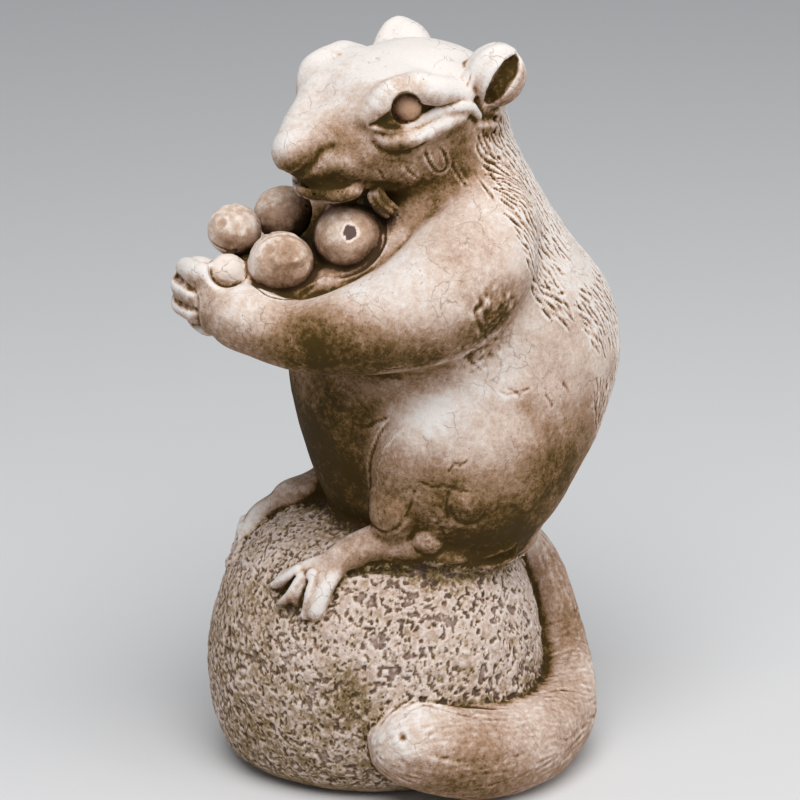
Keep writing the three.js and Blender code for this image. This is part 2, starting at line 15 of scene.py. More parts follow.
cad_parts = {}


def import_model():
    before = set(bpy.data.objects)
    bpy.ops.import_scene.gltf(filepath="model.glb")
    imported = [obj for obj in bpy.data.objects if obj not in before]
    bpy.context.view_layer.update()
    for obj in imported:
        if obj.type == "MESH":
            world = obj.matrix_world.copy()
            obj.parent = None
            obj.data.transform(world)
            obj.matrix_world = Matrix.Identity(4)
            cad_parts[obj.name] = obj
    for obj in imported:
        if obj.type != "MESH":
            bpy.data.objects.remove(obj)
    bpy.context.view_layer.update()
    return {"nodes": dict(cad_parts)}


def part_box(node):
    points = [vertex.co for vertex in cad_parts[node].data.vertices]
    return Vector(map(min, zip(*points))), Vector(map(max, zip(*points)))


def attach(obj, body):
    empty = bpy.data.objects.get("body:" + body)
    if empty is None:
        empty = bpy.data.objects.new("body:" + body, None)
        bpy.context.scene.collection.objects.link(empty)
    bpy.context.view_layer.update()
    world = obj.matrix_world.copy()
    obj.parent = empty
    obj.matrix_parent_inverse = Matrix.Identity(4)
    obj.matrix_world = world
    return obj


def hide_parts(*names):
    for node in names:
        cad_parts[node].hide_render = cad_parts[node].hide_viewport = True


# Driving values of the surface
METRE = 1000.0
VOXEL = 0.62
BAND = 14
FAR = BAND * VOXEL
MARGIN = 6.0
SEAM_SHARE = 0.15
SEED = 7

# Camera of the photograph
IMAGE_SIZE = 800
FOCAL_PIXELS = 3760.0
OPTICAL_ROW = 392.0
CAMERA_AZIMUTH = 65.0
CAMERA_ELEVATION = 18.0
CAMERA_DISTANCE = 1150.0
CAMERA_TARGET = np.array([0.0, 0.0, 115.0])
SENSOR_WIDTH = 36.0

# Fillet that each node makes with what is already joined, and how far its facets are smoothed away
JOINS = [
    ("torso", 0.0, 0.50),
    ("left_haunch right_haunch", 6.0, 0.50),
    ("left_arm right_arm", 4.0, 0.32),
    ("head", 5.0, 0.20),
    ("lower_jaw", 1.0, 0.06),
    ("left_ear right_ear", 2.0, 0.03),
    ("boulder", 6.0, 0.50),
    ("tail", 2.0, 0.30),
    ("left_foot right_foot", 1.6, 0.10),
    ("nut_bed", 2.0, 0.10),
    ("left_paw right_paw", 1.2, 0.12),
    ("nut_1 nut_2 nut_3 nut_4", 1.3, 0.0),
    ("nut_5", 2.6, 0.0),
    ("left_eye right_eye", 0.4, 0.0),
]
JOIN_ORDER = {name: values for names, *values in JOINS for name in names.split()}
NAMES = list(JOIN_ORDER)
BODY_NODES = ("torso", "left_haunch", "right_haunch", "left_arm", "right_arm")
EARS = ("left_ear", "right_ear")
EYES = ("left_eye", "right_eye")

# Smoothing of the facets, and the distances from a crease at which it sets in and is full
EVEN_PULL = 0.5
SMOOTH_ROUNDS = 110
CREASE_NEAR = 0.4
CREASE_CLEAR = 4.0
CREASE_PULL = 0.06
PULL_ROUNDS = 12

# Round nodes: the share of its box that each fills, how near to it its own skin lies, and the eyeballs' rise
NUT_SHARE = {"nut_1": 0.96, "nut_2": 0.94, "nut_3": 0.92, "nut_4": 1.0, "nut_5": 1.0}
ROUND_SHARE = NUT_SHARE | dict.fromkeys(EYES, 0.80)
ROUND_NODES = tuple(ROUND_SHARE)
ROUND_HOLD = 0.35
EYE_RISE = 1.8

# Materials of the nodes that aren't plain cast stone
SLOT_OF = {"boulder": "pitted_stone"}
SLOT_OF |= dict.fromkeys(EYES, "eye_stone") | dict.fromkeys(NUT_SHARE, "nut_stone")

# Seeds of the noises
NOISE_SEED = {
    "fur": 5,
    "warp": 30,
    "pit": 40,
    "fine_pit": 45,
    "drift": 55,
    "scar": 60,
    "rock": 70,
    "lump": 80,
    "nut": 85,
    "tail": 88,
    "worn": 90,
    "bump": 95,
}


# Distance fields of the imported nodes
def mesh_arrays(obj):
    """Points in millimetres and triangles of a mesh object."""
    data = obj.data
    data.calc_loop_triangles()
    points = np.empty(len(data.vertices) * 3, np.float32)
    data.vertices.foreach_get("co", points)
    triangles = np.empty(len(data.loop_triangles) * 3, np.int32)
    data.loop_triangles.foreach_get("vertices", triangles)
    return points.reshape(-1, 3) * METRE, triangles.reshape(-1, 3).astype(np.uint32)


def level_set(points, **faces):
    """A grid of signed distances near a closed mesh."""
    lattice = openvdb.createLinearTransform(voxelSize=VOXEL)
    return openvdb.FloatGrid.createLevelSetFromPolygons(points, transform=lattice, halfWidth=BAND, **faces)


def solid_field(points, triangles):
    """Signed distances near a closed mesh, and the lattice index of the first of them."""
    grid = level_set(points, triangles=triangles)
    first, last = grid.evalActiveVoxelBoundingBox()
    values = np.empty(np.subtract(last, first) + 1, np.float32)
    grid.copyToArray(values, ijk=first)
    return values, np.array(first)


def ellipsoid_field(points, share=1.0, rise=0.0):
    """Signed distances of a round body that fills this share of the box of some points."""
    low, high = points.min(0), points.max(0)
    centre, half = (low + high) / 2 + [0, 0, rise], share * (high - low) / 2
    first = np.floor((low - FAR) / VOXEL).astype(int)
    last = np.ceil((high + FAR) / VOXEL).astype(int)
    axes = [np.arange(first[i], last[i] + 1) * VOXEL for i in range(3)]
    x, y, z = np.meshgrid(*axes, indexing="ij")
    reach = np.sqrt(sum(((a - c) / h) ** 2 for a, c, h in zip((x, y, z), centre, half)))
    values = (reach - 1) * half.mean()
    return np.minimum(values, FAR).astype(np.float32), first


def node_fields(nodes):
    """The distance field of every node, by name."""
    fields = {}
    for name in NAMES:
        points, triangles = mesh_arrays(nodes[name])
        if name in ROUND_SHARE:
            rise = EYE_RISE if name in EYES else 0.0
            fields[name] = ellipsoid_field(points, ROUND_SHARE[name], rise)
        else:
            fields[name] = solid_field(points, triangles)
    return fields


def smooth_min(a, b, blend):
    """The lesser of two distances, with a fillet of about this size where they meet."""
    if blend == 0:
        return np.minimum(a, b)
    near = np.maximum(blend - np.abs(a - b), 0) / blend
    return np.minimum(a, b) - near * near * blend / 4


def empty_lattice(fields):
    """A lattice with room for all the nodes, and the index of its first value."""
    spare = int(MARGIN / VOXEL)
    first = np.min([low for _, low in fields.values()], 0) - spare
    last = np.max([low + values.shape for values, low in fields.values()], 0) + spare
    return np.full(last - first, FAR, np.float32), first


def window_of(low, shape, first):
    """The part of a lattice that begins at index low."""
    return tuple(slice(a, a + n) for a, n in zip(low - first, shape))


def join_nodes(whole, first, fields, names):
    """Adds nodes to one distance field, each with its own fillet."""
    for name in names:
        values, low = fields[name]
        window = window_of(low, values.shape, first)
        whole[window] = smooth_min(whole[window], values - SEAM_SHARE, JOIN_ORDER[name][0])


def corner_weights(share):
    """The eight corners of a lattice cell, each with its weight at places in the cell."""
    for corner in np.ndindex(2, 2, 2):
        yield corner, np.prod(np.where(corner, share, 1 - share), 1)


def sample(values, first, points, outside):
    """Values of a lattice at some points, mixed from the eight around each."""
    place = points / VOXEL - first
    base = np.floor(place).astype(int)
    share = (place - base).astype(np.float32)
    inside = np.all((base >= 0) & (base < np.array(values.shape) - 1), 1)
    base, share = base[inside], share[inside]
    total = np.zeros(len(base), np.float32)
    for corner, weight in corner_weights(share):
        total += weight * values[tuple((base + corner).T)]
    result = np.full(len(points), outside, np.float32)
    result[inside] = total
    return result


# Surface mesh
class Skin:
    """The carved surface: its points, quads and neighbours."""

    def __init__(self, whole, first):
        grid = openvdb.FloatGrid(FAR)
        grid.copyFromArray(whole, ijk=tuple(int(i) for i in first))
        grid.transform = openvdb.createLinearTransform(voxelSize=VOXEL)
        points, quads = grid.convertToQuads(0.0)
        self.points = points.astype(np.float64)
        self.quads = quads.astype(np.int64)
        self.start = self.quads.ravel()
        self.end = np.roll(self.quads, -1, axis=1).ravel()
        self.count = np.bincount(self.start, minlength=len(points))

    def ring_mean(self, values):
        """The mean of each point's neighbours."""
        size = len(self.count)
        if values.ndim == 1:
            return np.bincount(self.start, values[self.end], size) / self.count
        return np.stack([self.ring_mean(values[:, i]) for i in range(values.shape[1])], 1)

    def relaxed(self, values, weight, rounds):
        """Values drawn towards their neighbours' mean, again and again."""
        values = values.copy()
        pull = weight if values.ndim == 1 else np.asarray(weight)[..., None]
        for _ in range(rounds):
            values += pull * (self.ring_mean(values) - values)
        return values

    def normals(self):
        """Unit normals of the points."""
        corners = self.points[self.quads]
        face = np.cross(corners[:, 2] - corners[:, 0], corners[:, 3] - corners[:, 1])
        spread = np.repeat(face, 4, axis=0)
        size = len(self.points)
        total = np.stack([np.bincount(self.start, spread[:, i], size) for i in range(3)], 1)
        return total / np.maximum(np.linalg.norm(total, axis=1, keepdims=True), 1e-9)

    def push(self, amount):
        """Moves the points along their normals."""
        self.points += self.normals() * amount[:, None]


def smoothstep(low, high, values):
    """0 below low, 1 above high, and a smooth rise between."""
    share = np.clip((values - low) / (high - low), 0, 1)
    return share * share * (3 - 2 * share)


def node_distances(fields, points):
    """Distance of every point to every node."""
    return np.stack([sample(*fields[name], points, FAR) for name in NAMES], 1)


def nearest_node(distances):
    """The node of each point: a round one that it lies on, or else the one that it is deepest in."""
    label = np.argmin(np.where(np.isin(NAMES, EYES), np.inf, distances), 1)
    for name in ROUND_NODES:
        i = NAMES.index(name)
        label[np.abs(distances[:, i]) < ROUND_HOLD] = i
    return label


def on_nodes(label, *names):
    """Which points belong to some nodes."""
    return np.isin(label, [NAMES.index(name) for name in names])


def clearance(distances, chosen, name):
    """How far the chosen points of a node are from the nearest other node."""
    return np.delete(distances[chosen], NAMES.index(name), 1).min(1)


def smooth_facets(skin, distances, label):
    """Draws the facets of the solids away, less where a small form or a crease has to stay crisp."""
    pull = np.array([JOIN_ORDER[name][1] for name in NAMES])[label]
    body = np.isin(NAMES, BODY_NODES)
    own = np.take_along_axis(distances, label[:, None], 1)[:, 0]
    others = np.where(body[label][:, None] & body[None, :], np.inf, distances)
    np.put_along_axis(others, label[:, None], np.inf, 1)
    crease = smoothstep(CREASE_NEAR, CREASE_CLEAR, others.min(1) - own)
    pull = skin.relaxed(pull * (CREASE_PULL + (1 - CREASE_PULL) * crease), EVEN_PULL, PULL_ROUNDS)
    skin.points = skin.relaxed(skin.points, pull, SMOOTH_ROUNDS)


# Seeded noise
CELL_PRIMES = (73856093, 19349663, 83492791)
SEED_FACTOR = 2654435
MIXING = ((13, 1274126177), (15, 2246822519))
LOW_BITS = 0xFFFFFFFF
OCTAVE_SUM = 1.6


def lattice_noise(cells, seed):
    """A steady random number from 0 to 1 for each cell of a lattice."""
    mixed = (seed + SEED) * SEED_FACTOR
    for column, prime in zip(cells.astype(np.int64).T, CELL_PRIMES):
        mixed = mixed ^ column * prime
    for shift, factor in MIXING:
        mixed = (mixed ^ (mixed >> shift)) * factor & LOW_BITS
    return (mixed ^ (mixed >> 16)) / 2.0**32


def noise(points, scale, seed):
    """Smooth noise from -1 to 1 with features of about this size."""
    place = points / scale
    base = np.floor(place)
    share = place - base
    share = share * share * (3 - 2 * share)
    total = np.zeros(len(points))
    for corner, weight in corner_weights(share):
        total += weight * lattice_noise(base + corner, seed)
    return 2 * total - 1


def rough_noise(points, scale, seed, octaves=3):
    """Noise with finer noise on it."""
    return sum(noise(points, scale / 2**i, seed + i) / 2**i for i in range(octaves)) / OCTAVE_SUM


# The photograph's frame, and how near in pixels and in depth the points that a pixel shows lie
PIXEL_REACH = 2.5
FRONT_DEPTH = 2.0


def camera_axes():
    """Unit vectors to the right, up and back of the camera, and its place."""
    azimuth, elevation = math.radians(CAMERA_AZIMUTH), math.radians(CAMERA_ELEVATION)
    flat = math.cos(elevation)
    back = np.array([math.sin(azimuth) * flat, -math.cos(azimuth) * flat, math.sin(elevation)])
    right = np.array([math.cos(azimuth), math.sin(azimuth), 0.0])
    return right, np.cross(back, right), back, CAMERA_TARGET + back * CAMERA_DISTANCE


def to_pixels(points):
    """Column, row and depth of points in the photograph's frame."""
    right, up, back, eye = camera_axes()
    arm = points - eye
    depth = -(arm @ back)
    column = IMAGE_SIZE / 2 + FOCAL_PIXELS * (arm @ right) / depth
    row = OPTICAL_ROW - FOCAL_PIXELS * (arm @ up) / depth
    return column, row, depth


class Photo:
    """Finds the place on the skin that a pixel of the photograph shows."""

    def __init__(self, skin):
        self.points = skin.points.copy()
        self.column, self.row, self.depth = to_pixels(self.points)

    def place(self, column, row):
        """The point of the skin nearest to the camera at a pixel."""
        away = np.hypot(self.column - column, self.row - row)
        near = np.flatnonzero(away < PIXEL_REACH)
        if len(near) == 0:
            near = np.array([np.argmin(away)])
        front = near[self.depth[near] < self.depth[near].min() + FRONT_DEPTH]
        return self.points[front].mean(0)

    def path(self, pixels):
        """Points of the skin under a line of pixels."""
        return np.array([self.place(*pixel) for pixel in pixels])

    def level(self, pixels):
        """Points under a line of pixels, all as far from the camera as the first of them."""
        right, up, back, eye = camera_axes()
        depth = to_pixels(self.place(*pixels[0])[None])[2][0]
        aims = [(x - IMAGE_SIZE / 2) * right + (OPTICAL_ROW - y) * up for x, y in pixels]
        return np.array([eye + depth * (aim / FOCAL_PIXELS - back) for aim in aims])

    def snap(self, path):
        """The points of the skin nearest to a path."""
        return np.array([self.points[np.argmin(((self.points - p) ** 2).sum(1))] for p in path])


def dense(path, step=1.0):
    """A smooth line through some points, with points this far apart."""
    path = np.asarray(path, float)
    if len(path) < 2:
        return path
    ends = np.vstack([2 * path[0] - path[1], path, 2 * path[-1] - path[-2]])
    line = []
    for a, b, c, d in zip(ends, ends[1:], ends[2:], ends[3:]):
        count = max(2, int(np.linalg.norm(c - b) / step))
        t = np.linspace(0, 1, count, endpoint=False)[:, None]
        bend = 2 * a - 5 * b + 4 * c - d
        twist = 3 * b - a - 3 * c + d
        line.append(0.5 * (2 * b + (c - a) * t + bend * t**2 + twist * t**3))
    return np.vstack(line + [path[-1:]])


def line_distance(points, line):
    """Distance of points to a dense line, and the share of the line where they are nearest."""
    gap = np.full(len(points), np.inf)
    share = np.zeros(len(points))
    for i, place in enumerate(line):
        away = np.linalg.norm(points - place, axis=1)
        closer = away < gap
        gap[closer] = away[closer]
        share[closer] = i / max(len(line) - 1, 1)
    return gap, share


# Soft forms that are added to the joined field or cut from it, as round bars
CLAY_REACH = 5.0
BAR_STEP = 2.0
DOT_LENGTH = 0.01


class Clay:
    """Models the joined field with round bars that follow lines on its surface."""

    def __init__(self, whole, first):
        self.whole = whole
        self.first = first

    def normal(self, place):
        """The way out of the surface at a place."""
        probes = np.vstack([place + step for step in np.vstack([np.eye(3), -np.eye(3)])])
        ahead, behind = np.split(sample(self.whole, self.first, probes, FAR), 2)
        slope = ahead - behind
        return slope / max(np.linalg.norm(slope), 1e-6)

    def lifted(self, path, lift):
        """A path moved out of the surface, or into it where lift is below zero."""
        return np.array([place + self.normal(place) * lift for place in path])

    def bar(self, path, radii):
        """Distances to a round bar along a path, and the window of the lattice that they fill."""
        line = dense(path, BAR_STEP)
        sizes = np.interp(np.linspace(0, 1, len(line)), np.linspace(0, 1, len(radii)), radii)
        if len(line) == 1:
            line, sizes = np.vstack([line, line + DOT_LENGTH]), np.repeat(sizes, 2)
        reach = max(radii) + CLAY_REACH
        low = np.floor((line.min(0) - reach) / VOXEL).astype(int)
        high = np.ceil((line.max(0) + reach) / VOXEL).astype(int)
        low = np.clip(low, self.first, self.first + self.whole.shape)
        high = np.clip(high, self.first, self.first + self.whole.shape)
        grid = np.ogrid[tuple(slice(a, b) for a, b in zip(low, high))]
        x, y, z = ((axis * VOXEL).astype(np.float32) for axis in grid)
        gap = np.full(high - low, np.inf, np.float32)
        for a, b, ra, rb in zip(line, line[1:], sizes, sizes[1:]):
            run = b - a
            along = ((x - a[0]) * run[0] + (y - a[1]) * run[1] + (z - a[2]) * run[2]) / (run @ run)
            along = np.clip(along, 0, 1)
            away = (x - a[0] - along * run[0]) ** 2 + (y - a[1] - along * run[1]) ** 2
            away = np.sqrt(away + (z - a[2] - along * run[2]) ** 2)
            gap = np.minimum(gap, away - ra - along * (rb - ra))
        return window_of(low, gap.shape, self.first), gap

    def add(self, path, radii, blend):
        """Adds a bar along a path."""
        window, gap = self.bar(np.asarray(path), radii)
        self.whole[window] = smooth_min(self.whole[window], gap, blend)

    def cut(self, path, radii, blend):
        """Cuts a bar out along a path."""
        window, gap = self.bar(np.asarray(path), radii)
        self.whole[window] = -smooth_min(-self.whole[window], gap, blend)


# Lists of forms: kind, pixels of the photograph, radii along them, lift and fillet in millimetres.
# A level form keeps the distance that its first pixel has from the camera, and is lifted towards it.

# Filling of the mouth, in which the line between the lips is cut
MOUTH_FILL = [
    ("level", [(320, 178), (322, 186), (334, 190), (348, 189), (360, 186)],
     (2.4, 3.2, 3.4, 3.2, 2.2), -3.6, 1.5),
    ("level", [(308, 180), (304, 187), (314, 190)], (1.8, 2.4, 2.8), -2.9, 1.5),
]

# Filling of the throat, between the jaw, the shoulder and the nut that leans on the chest
THROAT_FILL = [
    ("level", [(430, 230), (404, 248), (403, 236), (409, 221), (420, 206), (438, 195)],
     (5, 6, 7, 7, 7, 6), -15, 4),
]

# Brow, and how much deeper it and other forms lie on the far side
FAR_BROW_SINK = 1.6
FAR_FACE_SINK = 0.8
FAR_MOUTH_SINK = 2.5
BROW_FORMS = [
    ("add", [(367, 117), (378, 104), (390, 88), (403, 78), (417, 79), (430, 90), (446, 92), (463, 87)],
     (1.2, 2.4, 3, 3.2, 3, 2.8, 2.6, 2), -2.7, 4),
]

# Bridge of the nose
BRIDGE_FORMS = [
    ("add", [(312, 84), (303, 98), (297, 109), (289, 120)], (3.5, 4.5, 4.5, 3.5), -3.5, 4),
]

# Lids, lips and folds of the face
FACE_FORMS = [
    ("add", [(381, 140), (395, 143), (411, 140), (424, 133)], (1, 1.9, 1.9, 1.2), -1.3, 2.5),
    ("cut", [(370, 125), (380, 122), (391, 116), (404, 110), (416, 109), (430, 109), (446, 106), (462, 100)],
     (0.5, 1, 1.6, 2, 1.8, 1, 0.8, 0.6), 0.2, 0.8),
    ("cut", [(374, 143), (382, 150), (397, 153), (414, 149), (428, 141)], (0.5,), 0.5, 1.6),
    ("add", [(304, 178), (317, 172), (331, 164), (347, 168), (360, 174)],
     (1.5, 2.6, 3, 2.6, 1.6), -2.2, 3),
    ("cut", [(282, 174), (290, 178), (301, 173), (313, 163), (322, 151), (333, 146)],
     (0.6, 0.9, 1, 0.9, 0.7, 0.5), 0.4, 1.6),
    ("add", [(300, 189), (310, 193), (324, 195), (340, 195), (353, 192), (362, 189)],
     (1, 1.5, 1.7, 1.7, 1.5, 1), -0.9, 1),
    ("cut", [(290, 181), (300, 184), (311, 186), (323, 187), (337, 187), (349, 184), (360, 181)],
     (0.5, 0.6, 0.7, 0.7, 0.8, 0.9, 0.5), 0.1, 0.5),
    ("cut", [(358, 187), (375, 185), (396, 187)], (1.2, 2.2, 1.8), 1.2, 2),
    ("add", [(484, 108), (494, 111), (503, 116)], (2, 2.6, 1.6), -1, 1.6),
    ("add", [(480, 124), (490, 126), (500, 127)], (1.4, 2, 1.4), -0.8, 1.6),
    ("cut", [(494, 118)], (1.1,), 0, 0.6),
    ("cut", [(494, 130)], (0.9,), 0, 0.6),
    ("cut", [(468, 119)], (0.7,), 0, 0.5),
]

# Tuft under the chin, on this side only
TUFT_FORMS = [
    ("level", [(378, 188), (371, 195), (377, 207), (387, 216)], (0.7, 1.3, 1.2, 0.7), -1.8, 0.6),
    ("level", [(379, 188), (376, 195), (382, 204), (392, 212)], (0.7, 1.4, 1.2, 0.7), -1.4, 0.6),
    ("level", [(380, 188), (382, 195), (388, 202), (397, 208)], (0.7, 1.3, 1.1, 0.7), -1.8, 0.6),
]

# Lower lid with the stripe behind it, and the rim and the hollow of the ear
LOWER_LID = [
    ("add", [(430, 127), (446, 121), (462, 118)], (1.8, 2, 1.6), -1.4, 3),
    ("add", [(375, 128), (390, 131), (408, 129), (422, 122), (434, 115), (446, 110), (460, 106), (472, 108),
             (479, 117)],
     (0.7, 1.2, 1.5, 1.7, 2, 2.2, 2.2, 1.9, 1.2), 0, 0.8),
]
EAR_FORMS = [
    ("add", [(470, 86), (474, 70), (485, 56), (500, 49), (514, 50)],
     (1.6, 2.2, 2.2, 1.8, 1.2), -0.9, 1.6),
    ("cut", [(518, 57), (512, 67), (503, 81), (495, 95), (489, 104)],
     (1.4, 2.7, 3.1, 2.7, 1.7), -1.5, 1.2),
]

# Pixels of one brow, from which the forehead runs level to the other
FOREHEAD_EDGE = [(358, 108), (372, 98), (388, 84), (404, 75), (420, 75), (438, 80), (456, 78), (466, 70)]
FOREHEAD_STEP = 4.0
FOREHEAD_RADIUS = 3.0
FOREHEAD_BLEND = 3.0

# Opening of the eye, and the fillings of the sockets and the ears
EYE_PIXEL = (407, 109)
EYE_OPENING = 4.5
EYE_DEPTH = 1.3
EYE_FRONT = 10.0
EYE_BLEND = 0.8
SOCKET_RADIUS = 5.0
SOCKET_REACH = 7.0
SOCKET_DEPTH = 0.8
FILL_BLEND = 1.0

# Band of stone that rolls under each haunch: its radius, its place from the haunch's side, the boulder's top
# and the haunch's middle, its half length as a share of the haunch's, and how far its ends bend in
SEAT_RADIUS = 6.0
SEAT_INSET = 18.0
SEAT_DROP = 6.5
SEAT_FORWARD = 2.0
SEAT_SHARE = 0.33
SEAT_BEND = 8.0
SEAT_STATIONS = 7
SEAT_BLEND = 4.0

# Filling between the foot, the haunch and the boulder
SEAT_FILL = [
    ("level", [(395, 548), (412, 546), (424, 550), (438, 556), (455, 560)],
     (3, 4, 4.5, 4.5, 4), -5.5, 3),
    ("level", [(440, 522), (429, 537)], (4, 5.5), -8.5, 2),
    ("level", [(480, 545), (470, 559), (490, 559), (508, 551)], (3, 4, 4, 3.5), -8.5, 3),
]

# Forms of the body, the same on both sides
BODY_FORMS = [
    ("cut", [(361, 497), (360, 470), (364, 443), (375, 424), (398, 413), (425, 404), (455, 392)],
     (4, 5, 5, 5, 4.5, 4, 3), 3.8, 5),
    ("add", [(386, 490), (386, 462), (396, 440), (420, 427), (450, 420)], (8, 9, 9, 9, 7), -7.6, 6),
    ("add", [(384, 509)], (7.5,), -6.3, 1.5),
    ("add", [(467, 505)], (7.5,), -5.7, 1.5),
    ("cut", [(350, 574), (380, 571), (412, 573), (460, 568), (490, 563), (520, 549)],
     (1, 1.2, 1.5, 1.5, 1.5, 1.8), -0.2, 1),
    ("cut", [(380, 373), (420, 368), (445, 363), (470, 353), (490, 338), (505, 326), (519, 306)],
     (1, 1.3, 1.5, 1.8, 1.8, 1.5, 0.8), 0.4, 0.8),
    ("add", [(312, 574), (310, 596), (305, 615)], (1.4, 1.5, 1.6), 0.2, 1.2),
    ("add", [(301, 577), (290, 595), (281, 605)], (1.4, 1.4, 1.5), 0.2, 1.2),
    ("add", [(297, 570), (284, 579), (273, 587)], (1.4, 1.4, 1.4), 0.2, 1.2),
    ("cut", [(308, 582), (302, 600), (294, 620)], (0.8, 1.2, 1.5), 0.3, 0.8),
    ("cut", [(297, 576), (286, 590), (276, 600)], (0.7, 1, 1.2), 0.3, 0.8),
]

# Knuckles of the folded leg: the grooves under them, and the swells between by pixel, radius and height
KNUCKLE_LINES = [
    ([(365, 514), (372, 527), (384, 532), (396, 528), (404, 517)], 0.9, 0.45, 0),
    ([(450, 509), (456, 520), (467, 525), (479, 521), (487, 510)], 0.9, 0.4, 0),
    ([(411, 545), (419, 553), (430, 557), (440, 553), (446, 545)], 0.8, 0.3, 0),
]
SWELLS = [
    ((425, 508), 6, 0.8),
    ((405, 462), 10, 0.7),
    ((500, 525), 7, 0.7),
]

# Filling between the nuts and the arms, on this side only
NEST_FORMS = [
    ("level", [(340, 300), (327, 287), (348, 292), (371, 285), (390, 268), (398, 246)],
     (6, 7, 8, 8, 8, 7), -19.5, 2),
    ("level", [(318, 300), (308, 298), (284, 307), (262, 301), (250, 290)], (6, 7.5, 8, 8, 6), -17, 2),
    ("add", [(214, 303), (236, 306), (258, 307)], (7, 8.5, 8), -6.8, 4),
]

# Gaps between the fingers
FINGER_GAPS = [
    ("cut", [(171, 272), (182, 283), (194, 291)], (1.2, 1.5, 0.9), 0.1, 0.6),
    ("cut", [(173, 301), (185, 307), (195, 310)], (1, 1.3, 0.8), 0.1, 0.6),
    ("cut", [(190, 326), (198, 328)], (1, 1.3), 0.2, 0.6),
    ("cut", [(193, 288), (198, 300), (198, 315), (199, 328)], (0.5,), 0.2, 0.8),
]

# Stone behind the nut that leans on the shoulder
NEST_NUT = "nut_1"
NEST_DEPTH = 5.0
NEST_RUN = np.array([0.0, 6.0, -2.0])
NEST_SPARE = 0.6
NEST_BLEND = 3.0

# Opening of the palm in front of the nut that lies in it
PALM_NUT = "nut_5"
PALM_OPENING = 5.5
PALM_FROM = 2.5
PALM_TO = 16.0
PALM_BLEND = 1.5


def node_box(name):
    """The low and the high corner of a node's box."""
    return [np.array(corner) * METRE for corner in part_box(name)]


def node_middle(name):
    """The middle of a node's box."""
    low, high = node_box(name)
    return (low + high) / 2


def eye_axis():
    """The middles of the left and the right eye, and the way from the right one to the left."""
    left, right = (node_middle(name) for name in EYES)
    return left, right, (left - right) / np.linalg.norm(left - right)


def head_mirror(path):
    """Places carried across the middle plane of the head."""
    left, right, across = eye_axis()
    return path - 2 * ((path - (left + right) / 2) @ across)[:, None] * across


def body_mirror(path):
    """Places carried across the middle plane of the body."""
    return path * [-1, 1, 1]


def folded(points):
    """Points with those of the far side carried across to this one."""
    return np.abs(points) * [1, 0, 0] + points * [0, 1, 1]


def level_forehead(clay, photo):
    """Fills the forehead between the brows."""
    edge = dense(photo.path(FOREHEAD_EDGE), FOREHEAD_STEP)
    for ends in zip(edge, head_mirror(edge)):
        clay.add([p - [0, 0, FOREHEAD_RADIUS] for p in ends], (FOREHEAD_RADIUS,), FOREHEAD_BLEND)


def fill_ears(clay):
    """Fills the cups of the ears, so that a narrower hollow can be cut."""
    for name in EARS:
        low, high = node_box(name)
        clay.add([(low + high) / 2], ((high - low)[1:].mean() / 2,), FILL_BLEND)


def fill_sockets(clay):
    """Fills the eye sockets, so that a shallower opening can be cut round each ball."""
    left, right, across = eye_axis()
    along = SOCKET_REACH * np.cross(across, [0, 0, 1])
    for inner in (left - SOCKET_DEPTH * across, right + SOCKET_DEPTH * across):
        clay.add([inner - along, inner + along], (SOCKET_RADIUS,), FILL_BLEND)


def open_eyes(clay, photo):
    """Cuts a round opening for each eyeball."""
    place, out = photo.place(*EYE_PIXEL), camera_axes()[2]
    path = np.array([place - EYE_DEPTH * out, place + EYE_FRONT * out])
    for line in (path, head_mirror(path)):
        clay.cut(line, (EYE_OPENING,), EYE_BLEND)


def fill_seat(clay):
    """Rolls a band of stone under each haunch, where it stands out over the boulder."""
    low, high = node_box("left_haunch")
    share = np.linspace(-1, 1, SEAT_STATIONS)
    x = high[0] - SEAT_INSET - SEAT_BEND * share**2
    y = (low[1] + high[1]) / 2 - SEAT_FORWARD + share * SEAT_SHARE * (high[1] - low[1])
    z = np.full(len(share), node_box("boulder")[1][2] - SEAT_DROP)
    path = np.stack([x, y, z], 1)
    for line in (path, body_mirror(path)):
        clay.add(line, (SEAT_RADIUS,), SEAT_BLEND)


def fill_nest(clay):
    """Fills the gap between the nut that leans on the shoulder and the chest behind it."""
    low, high = node_box(NEST_NUT)
    behind = node_middle(NEST_NUT) - camera_axes()[2] * NEST_DEPTH
    clay.add([behind, behind + NEST_RUN], ((high - low).mean() / 2 + NEST_SPARE,), NEST_BLEND)


def open_palm(clay):
    """Opens the palm in front of the nut that lies in it."""
    middle, out = node_middle(PALM_NUT), camera_axes()[2]
    clay.cut(np.array([middle + PALM_FROM * out, middle + PALM_TO * out]), (PALM_OPENING,), PALM_BLEND)


def model_forms(clay, photo, forms, mirror=None, sink=0.0):
    """Adds and cuts forms where the photograph shows them, and on the far side, sunk there by a length."""
    for kind, pixels, radii, lift, blend in forms:
        if kind == "level":
            back = camera_axes()[2]
            path = photo.level(pixels) + lift * back
            paths = [path, mirror(path - sink * back)] if mirror else [path]
        else:
            path = photo.path(pixels)
            paths = [clay.lifted(path, lift)]
            if mirror:
                paths.append(clay.lifted(photo.snap(mirror(path)), lift - sink * (kind == "add")))
        work = clay.cut if kind == "cut" else clay.add
        for line in paths:
            work(line, radii, blend)


# Profiles of the carver's work: where a raised edge lies in widths from a cut's middle, how far lines,
# strokes and bumps reach, how lines and strokes thin out at their ends, and how uneven bumps are
EDGE_AT = 1.9
LINE_STEP = 0.25
LINE_REACH = 2.5
LINE_SPARE = 1.0
LINE_TAPER = 0.15
LINE_END = 0.25
LINE_EDGE_SPREAD = 0.6
STROKE_EDGE = 0.3
STROKE_EDGE_SPREAD = 0.64
STROKE_END = 0.45
STROKE_SIDES = 3.0
STROKE_THICKNESS = 2.5
BUMP_REACH = 1.6
BUMP_NOISE = 0.3
BUMP_NOISE_SIZE = 6.0
BUMP_POWER = 1.3


